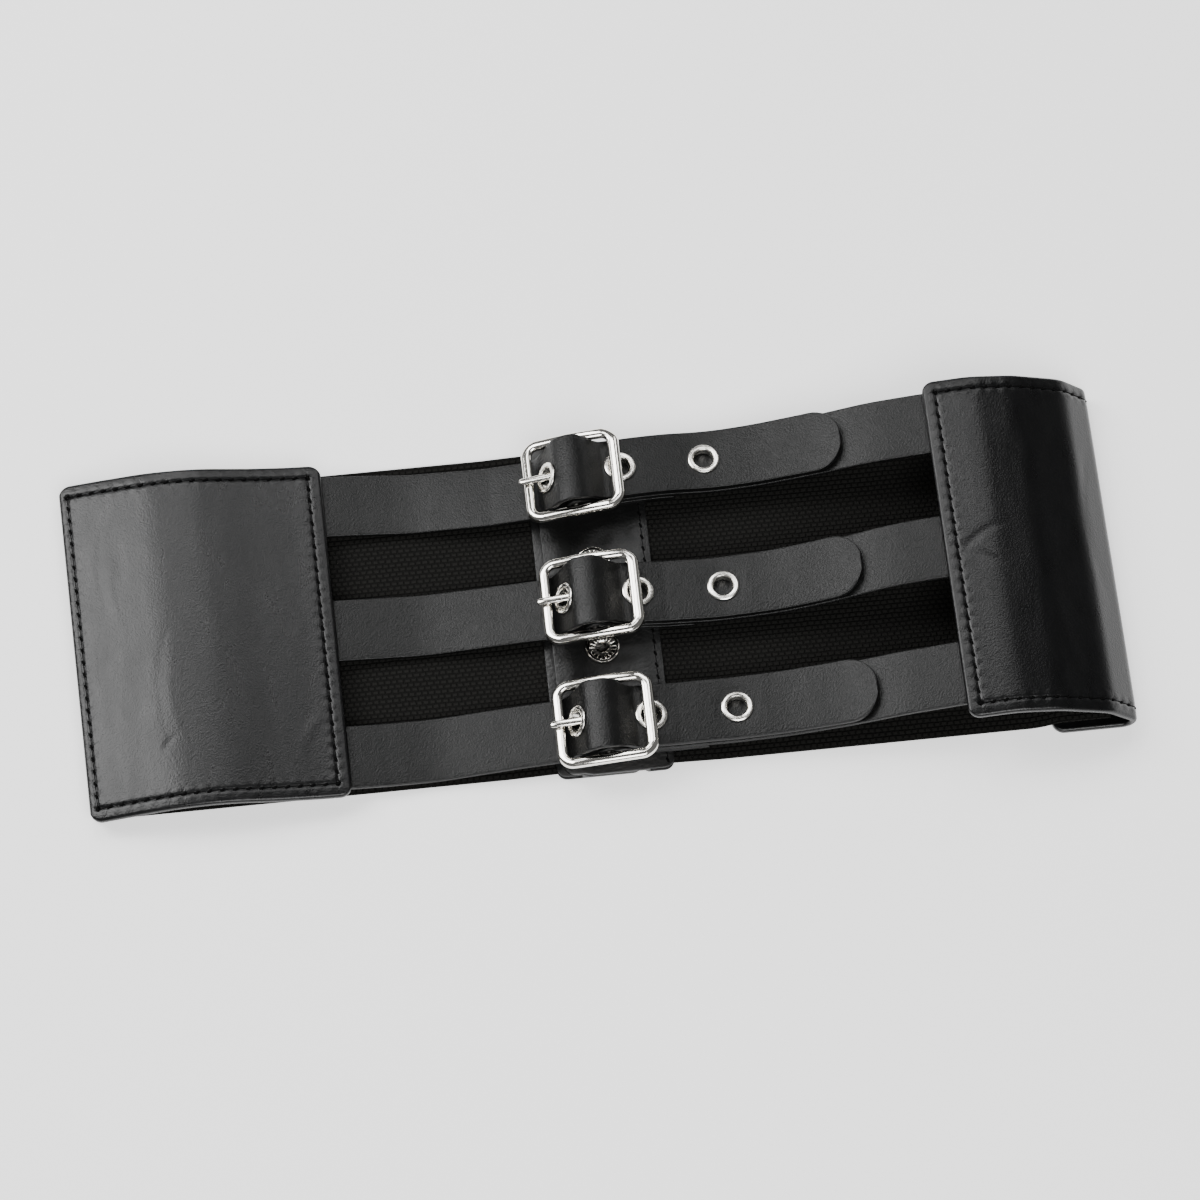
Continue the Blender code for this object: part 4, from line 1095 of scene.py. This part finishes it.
class BELT_OT_hole_straps(bpy.types.Operator):
    """Make the three straps with holes, and their eyelets"""

    bl_idname = "belt.hole_straps"
    bl_label = "Hole straps and eyelets"

    def humped(self, route, buckle):
        """The strap's line with its arch over the bar eased into a round hump."""
        start = distance_to_x(route, buckle.centre.x - ARCH_HUMP_REACH - ARCH_HUMP_SHIFT)
        end = distance_to_x(route, buckle.centre.x + 2 * ARCH_HUMP_REACH)
        count = round((end - start) / ARCH_STEP)
        offsets = [step / 8 for step in range(-7, 8)]
        weights = [swell(offset) for offset in offsets]
        eased = []
        for step in range(count + 1):
            along = start + (end - start) * step / count
            reach = ARCH_EASE * min(1.0, step / 10, (count - step) / 10)
            points = [point_at(route, along + offset * reach) for offset in offsets]
            eased.append(sum((point * weight for point, weight in zip(points, weights)), Vector((0, 0)))
                         / sum(weights))
        before = [point for point, along in zip(route, lengths(route)) if along < start - 1e-6]
        after = [point for point, along in zip(route, lengths(route)) if along > end + 1e-6]
        raised = []
        for point in before + eased + after:
            off = point.x - buckle.centre.x
            hump = ARCH_HUMP * swell((off + ARCH_HUMP_SHIFT) / ARCH_HUMP_REACH)
            dip = DIPS[buckle.strap.name] * swell((off + DIP_PLACE) / DIP_REACH)
            raised.append(point + Vector((0, hump - dip)))
        return raised

    def eyelet(self, name, matrix):
        """One eyelet: its crown, its barrel and its rolled back, turned as one ring."""
        hole, barrel = EYELET_HOLE_RADIUS, EYELET_HOLE_RADIUS + EYELET_BARREL
        top, back = HALF_STRAP + METAL_GAP / 2, -HALF_STRAP - METAL_GAP / 2
        roll = barrel + EYELET_BACK_WIDTH
        low, crown = back - EYELET_BACK_HEIGHT, top + EYELET_HEIGHT
        section = [(hole, low), (roll - 0.1 * MM, low), (roll, back), (barrel, back), (barrel, top),
                   (EYELET_RADIUS, top - 0.05 * MM), (EYELET_RADIUS, crown - 0.25 * MM),
                   (EYELET_RADIUS - 0.4 * MM, crown - 0.04 * MM), (EYELET_RADIUS - 0.9 * MM, crown),
                   (hole + 0.3 * MM, crown - 0.08 * MM), (hole, crown - 0.4 * MM)]
        bm = bmesh.new()
        ring_profile(bm, softened(section, 0.25 * MM, True), 56, matrix)
        add_piece(name + "_ring", bm, "eyelet nickel", name)

    def execute(self, context):
        edge = context.scene.belt_sewing.strap_edge
        for number, buckle in enumerate(BUCKLES):
            name = buckle.strap.name
            route = buckle.hole_strap_route()
            spots = buckle.eyelet_distances(route)
            length = spots[-1] + STRAP_TIP_LENGTH
            way = Bend(self.humped(stretch(route, 0, length), buckle), buckle.place)
            lines = graded(length, HOLE_STRAP_GRID[0], STRAP_CUTS, STRAP_TIP_RADIUS)
            rows = graded_rows(STRAP_WIDTH, HOLE_STRAP_GRID[1], STRAP_CUTS)
            half_width = corner_cut(length, lambda along: STRAP_WIDTH / 2, 0, STRAP_TIP_RADIUS)
            bore = EYELET_HOLE_RADIUS + EYELET_BARREL + METAL_GAP
            holes = [((spot, 0), bore) for spot in spots]
            bm = cut_flat(lines, rows, half_width, STRAP_THICKNESS, edge, holes)

            def relief(along, across):
                height = STRAP_WAVE * softness(along, across, STRAP_WAVE_LENGTH, number * 7.3)
                height += STRAP_RIPPLE * softness(along, across, STRAP_RIPPLE_LENGTH, number + 20)
                for spot in spots:
                    off = math.hypot(along - spot, across) - EYELET_DIMPLE_RADIUS
                    height -= EYELET_DIMPLE * math.exp(-(off / EYELET_DIMPLE_WIDTH) ** 2)
                return height - HOLE_STRAP_FALL * (across / (STRAP_WIDTH / 2)) ** 4

            bend(bm, way, STRAP_THICKNESS, relief, [(spots[0] + CREST_PLACE, CREST_REACH, CREST_BULGE)])
            add_piece(name + "_strap_with_holes", bm, "strap leather", "hole_strap_" + name)
            for index, spot in enumerate(spots, 1):
                self.eyelet("eyelet_%s_%d" % (name, index), way.matrix(spot, 0, 0, EYELET_HOLE_RADIUS))
        return {"FINISHED"}


class BELT_OT_buckle_straps(bpy.types.Operator):
    """Make the three straps that hold the buckles"""

    bl_idname = "belt.buckle_straps"
    bl_label = "Buckle straps"

    def execute(self, context):
        edge = context.scene.belt_sewing.strap_edge
        for number, buckle in enumerate(BUCKLES):
            name = buckle.strap.name
            route = buckle.buckle_strap_route()
            total = lengths(route)
            turning = max(range(len(route)), key=lambda index: -route[index].x)
            bar = total[turning]
            way = Bend(route, buckle.place)
            slot = PRONG_WIDTH / 2 + PRONG_SLOT_PLAY
            lines = graded(total[-1], BUCKLE_STRAP_GRID[0], STRAP_CUTS)
            rows = sorted([2 * place / STRAP_WIDTH - 1
                           for place in graded(STRAP_WIDTH, BUCKLE_STRAP_GRID[1], STRAP_CUTS)
                           if abs(abs(place - STRAP_WIDTH / 2) - slot) > 0.3 * MM]
                          + [2 * slot / STRAP_WIDTH, -2 * slot / STRAP_WIDTH])
            bm = cut_flat(lines, rows, lambda along: STRAP_WIDTH / 2, STRAP_THICKNESS, edge)
            inside = [face for face in bm.faces
                      if abs(face.calc_center_median().x - bar) < PRONG_SLOT_REACH
                      and abs(face.calc_center_median().y) < slot]
            touched = {side for face in inside for side in face.edges}
            rim = [side for side in touched if any(face not in inside for face in side.link_faces)]
            bmesh.ops.delete(bm, geom=inside, context="FACES")
            bmesh.ops.bridge_loops(bm, edges=rim)

            def relief(along, across):
                height = STRAP_WAVE * softness(along, across, STRAP_WAVE_LENGTH, number * 5.1 + 40)
                return height - BUCKLE_STRAP_FALL * (across / (STRAP_WIDTH / 2)) ** 4

            bend(bm, way, STRAP_THICKNESS, relief, [(bar, WRAP_REACH, WRAP_BULGE)])
            add_piece(name + "_strap_with_buckle", bm, "strap leather", "buckle_strap_" + name)
        return {"FINISHED"}


class BELT_OT_buckles(bpy.types.Operator):
    """Make the three buckle frames and their prongs"""

    bl_idname = "belt.buckles"
    bl_label = "Buckles"

    def frame(self, buckle):
        """One frame: its wire's section led round the four corners, and the bar across its middle."""
        half_length = (FRAME_LENGTH - FRAME_WIRE) / 2
        half_width = (FRAME_WIDTH - FRAME_WIRE) / 2
        corner = FRAME_CORNER - FRAME_WIRE / 2
        bm = bmesh.new()
        section = squared_circle(bm, 28, FRAME_SQUARENESS, FRAME_WIRE, FRAME_HEIGHT, (half_width, 0), False)
        ring = section + list({edge for vert in section for edge in vert.link_edges})
        runs = [half_length - corner, 2 * (half_width - corner), 2 * (half_length - corner),
                2 * (half_width - corner), half_length - corner]
        way = Vector((-1, 0, 0))
        inward = Vector((0, -1, 0))
        middle = Vector((0, half_width, 0))
        for index, run in enumerate(runs):
            ring = bmesh.ops.extrude_edge_only(bm, edges=edges_of(ring))["geom"]
            verts = verts_of(ring)
            bmesh.ops.translate(bm, verts=verts, vec=way * run)
            middle = middle + way * run
            if index < 4:
                centre = middle + inward * corner
                turned = bmesh.ops.spin(bm, geom=verts + edges_between(edges_of(ring), verts), cent=centre,
                                        axis=(0, 0, 1), angle=QUARTER_TURN, steps=10, use_merge=False)
                ring = turned["geom_last"]
                middle = centre + way * corner
                way, inward = inward, -way
        bmesh.ops.remove_doubles(bm, verts=bm.verts, dist=0.01 * MM)
        for vert in bm.verts:
            vert.co.z += FRAME_BOW * max(0.0, 1 - (vert.co.x / half_length) ** 2)
            if vert.co.x > half_length - corner:
                side = (vert.co.x - half_length) / (FRAME_WIRE / 2)
                along = min(1.0, (vert.co.x - half_length + corner) / corner)
                vert.co.x -= FRAME_END_WIDENING * (1 - side) * along
        bar = bmesh.ops.create_cone(bm, cap_ends=True, segments=20, radius1=CENTRE_BAR_RADIUS,
                                    radius2=CENTRE_BAR_RADIUS, depth=2 * half_width,
                                    matrix=Matrix.Rotation(QUARTER_TURN, 4, "X"))
        # The whole centre bar takes the darkened nickel: painted shade, since its visible ends lie in the
        # shade of the wrapped strap
        for face in {face for vert in bar["verts"] for face in vert.link_faces}:
            face.material_index = 1
        bmesh.ops.recalc_face_normals(bm, faces=bm.faces)
        bmesh.ops.transform(bm, matrix=buckle.matrix(), verts=bm.verts)
        made = add_piece(buckle.strap.name + "_frame", bm, "bright nickel",
                         "buckle_frame_" + buckle.strap.name)
        made.data.materials.append(finish_of("shaded nickel"))

    def prong(self, buckle):
        """One prong: a shaft that narrows to its tip, with its root wrapped round the centre bar."""
        bm = bmesh.new()
        radius = buckle.prong_height
        section = squared_circle(bm, 16, PRONG_SQUARENESS, PRONG_WIDTH, PRONG_THICKNESS, (0, radius), True)
        loop = list({edge for vert in section for edge in vert.link_edges})
        shaft = bmesh.ops.extrude_edge_only(bm, edges=loop)["geom"]
        tip = -FRAME_LENGTH / 2 - PRONG_OVERHANG
        stops = [(0.3, 1, 1), (0.6, 0.97, 1), (0.85, 0.9, 0.97), (0.94, 0.84, 0.9), (0.98, 0.7, 0.72),
                 (1, 0.4, 0.42)]
        before = 0.0
        width = height = 1.0
        for index, (share, wide, high) in enumerate(stops):
            if index:
                edges = edges_between(edges_of(shaft), verts)
                shaft = bmesh.ops.extrude_edge_only(bm, edges=edges)["geom"]
            verts = verts_of(shaft)
            bmesh.ops.translate(bm, verts=verts, vec=(tip * (share - before), 0, 0))
            centre = Vector((tip * share, 0, radius))
            bmesh.ops.scale(bm, verts=verts, vec=(1, wide / width, high / height),
                            space=Matrix.Translation(-centre))
            before, width, height = share, wide, high
        open_end = [edge for edge in bm.edges if edge.is_boundary]
        bmesh.ops.contextual_create(bm, geom=edges_between(open_end, verts))
        cap = max(bm.faces, key=lambda face: (face.calc_center_median().x, len(face.verts)))
        ring = list(cap.verts) + list(cap.edges) + [cap]
        bmesh.ops.spin(bm, geom=ring, cent=(0, 0, 0), axis=(0, 1, 0), angle=PRONG_WRAP, steps=26,
                       use_merge=False)
        bmesh.ops.recalc_face_normals(bm, faces=bm.faces)
        bmesh.ops.transform(bm, matrix=buckle.matrix(), verts=bm.verts)
        add_piece(buckle.strap.name + "_prong", bm, "bright nickel", "buckle_prong_" + buckle.strap.name)

    def execute(self, context):
        for buckle in BUCKLES:
            self.frame(buckle)
            self.prong(buckle)
        return {"FINISHED"}


class BELT_OT_elastic(bpy.types.Operator):
    """Make the two halves of the woven elastic"""

    bl_idname = "belt.elastic"
    bl_label = "Elastic"

    def execute(self, context):
        def relief(along, across):
            return ELASTIC_WAVE * softness(along, across * 0.6, ELASTIC_WAVE_LENGTH, 70) - ELASTIC_SUNK

        halves = {"elastic_left": elastic_left_route(), "elastic_right": elastic_right_route()}
        for name, route in halves.items():
            length = lengths(route)[-1]
            lines = graded(length, ELASTIC_GRID[0], ELASTIC_CUTS)
            rows = graded_rows(ELASTIC_WIDTH, ELASTIC_GRID[1], ELASTIC_CUTS)
            bm = cut_flat(lines, rows, lambda along: ELASTIC_WIDTH / 2, ELASTIC_THICKNESS, ELASTIC_EDGE)
            bend(bm, Bend(route, in_place), ELASTIC_THICKNESS, relief)
            web = add_piece(name + "_web", bm, "woven elastic", name)
        return {"FINISHED"}


class BELT_OT_closure(bpy.types.Operator):
    """Make the two closure tabs, their seam and the press studs"""

    bl_idname = "belt.closure"
    bl_label = "Closure"

    def tab(self, name, outline, left, right):
        """One tab from its outline along the belt, with its outer corners rounded."""
        bm = bmesh.new()
        side = TAB_WIDTH / 2
        face = bm.faces.new([bm.verts.new((x, -side, z)) for x, z in outline])
        grown = bmesh.ops.extrude_face_region(bm, geom=[face])
        bmesh.ops.translate(bm, verts=verts_of(grown["geom"]), vec=(0, 2 * side, 0))
        bmesh.ops.recalc_face_normals(bm, faces=bm.faces)
        upright = [edge for edge in bm.edges
                   if abs(edge.verts[0].co.x - edge.verts[1].co.x) < 1e-6
                   and abs(edge.verts[0].co.y - edge.verts[1].co.y) < 1e-6
                   and min(abs(edge.verts[0].co.x + left), abs(edge.verts[0].co.x - right)) < 1e-5]
        bmesh.ops.bevel(bm, geom=upright, offset=TAB_CORNER, offset_type="OFFSET", segments=6, profile=0.5,
                        affect="EDGES", material=-1)
        sharp = [edge for edge in bm.edges if edge.calc_face_angle(0) > math.radians(50)]
        bmesh.ops.bevel(bm, geom=sharp, offset=0.22 * MM, offset_type="OFFSET", segments=3, profile=0.5,
                        affect="EDGES", material=-1, clamp_overlap=True)
        plan = bm.loops.layers.uv.new("plan")
        for face in bm.faces:
            for loop in face.loops:
                loop[plan].uv = (loop.vert.co.x + loop.vert.co.z, loop.vert.co.y + loop.vert.co.z)
        bmesh.ops.translate(bm, verts=bm.verts, vec=(SHIFT_X, SHIFT_Y, 0))
        add_piece(name + "_leather", bm, "tab leather", name)

    def stud(self, name, x, y):
        """One press stud: its ribbed dish and rolled ring above, and its cap below the tabs."""
        seat = 2 * TAB_THICKNESS + GAP + METAL_GAP / 3
        crown = seat + STUD_RING_HEIGHT + 0.15 * MM
        place = Matrix.Translation((x, y, 0))
        hole, ring = STUD_HOLE_RADIUS, STUD_RING_RADIUS
        bm = bmesh.new()
        dish = (hole + 0.25 * MM, ring - 0.95 * MM)
        section = [(0, seat - STUD_DEPTH), (hole, seat - STUD_DEPTH), (hole, crown - 0.65 * MM),
                   (dish[0], crown - 0.5 * MM), (dish[1], crown - 0.15 * MM),
                   (ring - 0.75 * MM, crown - 0.5 * MM), (ring - 0.55 * MM, crown - 0.5 * MM),
                   (ring - 0.45 * MM, crown), (ring - 0.1 * MM, crown - 0.05 * MM),
                   (ring, crown - 0.35 * MM), (ring, seat), (0, seat)]
        ring_profile(bm, softened(section[:-1], 0.08 * MM, False) + [section[-1]], 56, place)
        # Faces in the hole and in the groove inside the rolled ring take the darkened nickel: painted shade
        # in these hollows
        for face in bm.faces:
            off = math.hypot(face.calc_center_median().x - x, face.calc_center_median().y - y)
            if off < hole or dish[1] < off < ring - 0.5 * MM:
                face.material_index = 1
        low = bmesh.new()
        bottom, top = METAL_GAP / 2, METAL_GAP / 2 + STUD_CAP_HEIGHT
        cap = [(0, bottom), (STUD_CAP_RADIUS - 0.4 * MM, bottom), (STUD_CAP_RADIUS, bottom + 0.25 * MM),
               (STUD_CAP_RADIUS, top), (0, top)]
        ring_profile(low, cap, 40, place)
        capped = bpy.data.meshes.new("cap")
        low.to_mesh(capped)
        low.free()
        bm.from_mesh(capped)
        bpy.data.meshes.remove(capped)
        slope = math.atan2(0.35 * MM, dish[1] - dish[0])
        for step in range(STUD_RIBS):
            turn = Matrix.Rotation(2 * math.pi * step / STUD_RIBS, 4, "Z")
            set_at = place @ turn @ Matrix.Translation((sum(dish) / 2, 0, crown - 0.43 * MM))
            set_at = set_at @ Matrix.Rotation(-slope, 4, "Y")
            size = Matrix.Diagonal((dish[1] - dish[0] - 0.2 * MM, 0.36 * MM, 0.4 * MM, 1))
            rib = bmesh.ops.create_cube(bm, size=1, matrix=set_at @ size)
            edges = list({edge for vert in rib["verts"] for edge in vert.link_edges})
            bmesh.ops.bevel(bm, geom=edges, offset=0.09 * MM, offset_type="OFFSET", segments=2, profile=0.5,
                            affect="EDGES", material=-1)
        made = add_piece(name + "_metal", bm, "bright nickel", name)
        made.data.materials.append(finish_of("shaded nickel"))

    def execute(self, context):
        low, high = TAB_THICKNESS + GAP, FORK_HEIGHT + GAP
        slot_top, ramp = FORK_HEIGHT - PLY, TAB_RAMP
        fork_end = -OUTER_TAB_LEFT + TAB_SLOT_DEPTH
        self.tab("closure_tab_outer",
                 [(-OUTER_TAB_LEFT, 0), (OUTER_TAB_RIGHT, 0), (OUTER_TAB_RIGHT, TAB_THICKNESS),
                  (fork_end + ramp, TAB_THICKNESS), (fork_end, FORK_HEIGHT), (-OUTER_TAB_LEFT, FORK_HEIGHT),
                  (-OUTER_TAB_LEFT, slot_top), (fork_end - GAP, slot_top), (fork_end - GAP, PLY),
                  (-OUTER_TAB_LEFT, PLY)], OUTER_TAB_LEFT, OUTER_TAB_RIGHT)
        foot = INNER_TAB_RIGHT - TAB_SLOT_DEPTH
        self.tab("closure_tab_inner",
                 [(-INNER_TAB_LEFT, high), (fork_end + GAP, high), (fork_end + ramp + GAP, low),
                  (OUTER_TAB_RIGHT + GAP, low), (foot - GAP, 0), (INNER_TAB_RIGHT, 0),
                  (INNER_TAB_RIGHT, PLY), (foot + GAP, PLY), (foot + GAP, slot_top),
                  (INNER_TAB_RIGHT, slot_top),
                  (INNER_TAB_RIGHT, FORK_HEIGHT), (foot, FORK_HEIGHT), (foot - ramp, low + TAB_THICKNESS),
                  (fork_end + ramp + 2 * GAP, low + TAB_THICKNESS),
                  (fork_end + 2 * GAP, high + TAB_THICKNESS), (-INNER_TAB_LEFT, high + TAB_THICKNESS)],
                 INNER_TAB_LEFT, INNER_TAB_RIGHT)
        sewing = context.scene.belt_sewing
        side = TAB_WIDTH / 2 - sewing.tab_inset
        x = INNER_TAB_RIGHT - sewing.tab_inset
        flat = Bend([Vector((0, FORK_HEIGHT)), Vector((INNER_TAB_RIGHT, FORK_HEIGHT))], in_place)
        sew("closure_seam", flat, 0.02 * MM, [Seam((x, -side), (x, side), sewing.stitch_pitch)],
            sewing.thread)
        for name, side in (("upper", 1), ("lower", -1)):
            self.stud("press_stud_" + name, SHIFT_X - STUD_OFFSET, SHIFT_Y + side * STUD_SPACING / 2)
        return {"FINISHED"}


class BELT_OT_stage(bpy.types.Operator):
    """Make the floor, the lights and the camera"""

    bl_idname = "belt.stage"
    bl_label = "Stage"

    def light(self, name, place, width, height, energy):
        """One soft light that faces the middle of the belt."""
        data = bpy.data.lights.new(name, "AREA")
        data.shape = "RECTANGLE"
        data.size, data.size_y = width, height
        data.energy = energy
        made = bpy.data.objects.new(name, data)
        bpy.context.collection.objects.link(made)
        made.location = place
        made.rotation_euler = (-Vector(place)).to_track_quat("-Z", "Y").to_euler()

    def floor(self, glow):
        """The pale ground, with some light through it from below."""
        bm = bmesh.new()
        bmesh.ops.create_grid(bm, x_segments=2, y_segments=2, size=FLOOR_SIZE)
        bmesh.ops.translate(bm, verts=bm.verts, vec=(0, 0, -FLOOR_DROP))
        mesh = bpy.data.meshes.new("floor")
        bm.to_mesh(mesh)
        bm.free()
        finish = Finish("pale floor")
        finish.shader["Base Color"].default_value = (0.93, 0.93, 0.93, 1)
        finish.shader["Emission Color"].default_value = (1, 1, 1, 1)
        finish.shader["Emission Strength"].default_value = glow
        finish.shader["Roughness"].default_value = 0.9
        finish.shader["Specular IOR Level"].default_value = 0.1
        mesh.materials.append(finish.made)
        floor = bpy.data.objects.new("floor", mesh)
        bpy.context.collection.objects.link(floor)

    def execute(self, context):
        stage = context.scene.belt_stage
        self.floor(stage.table)
        world = bpy.data.worlds.new("surround")
        world.use_nodes = True
        back = world.node_tree.nodes["Background"]
        back.inputs["Color"].default_value = (1, 1, 1, 1)
        back.inputs["Strength"].default_value = stage.sky
        context.scene.world = world
        for name, place, width, height in LIGHTS:
            self.light(name, place, width, height, getattr(stage, name + "_power"))
        data = bpy.data.cameras.new("camera")
        data.sensor_width = 36
        data.lens = stage.lens
        data.clip_start, data.clip_end = 0.01, 20
        camera = bpy.data.objects.new("camera", data)
        context.collection.objects.link(camera)
        back = Vector((math.sin(stage.azimuth) * math.cos(stage.elevation),
                       -math.cos(stage.azimuth) * math.cos(stage.elevation), math.sin(stage.elevation)))
        camera.location = Vector((SHIFT_X, SHIFT_Y + CAMERA_AIM[0], CAMERA_AIM[1])) + back * stage.distance
        camera.rotation_euler = (-back).to_track_quat("-Z", "Y").to_euler()
        context.scene.camera = camera
        return {"FINISHED"}


class BELT_PT_sidebar(bpy.types.Panel):
    """Lists the belt's steps in the sidebar"""

    bl_idname = "BELT_PT_sidebar"
    bl_label = "Waist belt"
    bl_space_type = "VIEW_3D"
    bl_region_type = "UI"
    bl_category = "Belt"

    def draw(self, context):
        for step in STEPS:
            self.layout.operator(step.bl_idname)
        for group in (context.scene.belt_sewing, context.scene.belt_finish, context.scene.belt_stage):
            box = self.layout.box()
            for name in group.__annotations__:
                box.prop(group, name)


STEPS = (BELT_OT_panels, BELT_OT_elastic, BELT_OT_closure, BELT_OT_buckle_straps, BELT_OT_hole_straps,
         BELT_OT_buckles, BELT_OT_stage)
CLASSES = (BeltSewing, BeltFinish, BeltStage) + STEPS + (BELT_PT_sidebar,)


def register():
    for item in CLASSES:
        bpy.utils.register_class(item)
    bpy.types.Scene.belt_sewing = PointerProperty(type=BeltSewing)
    bpy.types.Scene.belt_finish = PointerProperty(type=BeltFinish)
    bpy.types.Scene.belt_stage = PointerProperty(type=BeltStage)


def unregister():
    del bpy.types.Scene.belt_stage
    del bpy.types.Scene.belt_finish
    del bpy.types.Scene.belt_sewing
    for item in reversed(CLASSES):
        bpy.utils.unregister_class(item)


def main():
    register()
    bpy.ops.belt.panels()
    bpy.ops.belt.elastic()
    bpy.ops.belt.closure()
    bpy.ops.belt.buckle_straps()
    bpy.ops.belt.hole_straps()
    bpy.ops.belt.buckles()
    bpy.ops.belt.stage()
    bpy.context.view_layer.update()


if __name__ == "__main__":
    main()
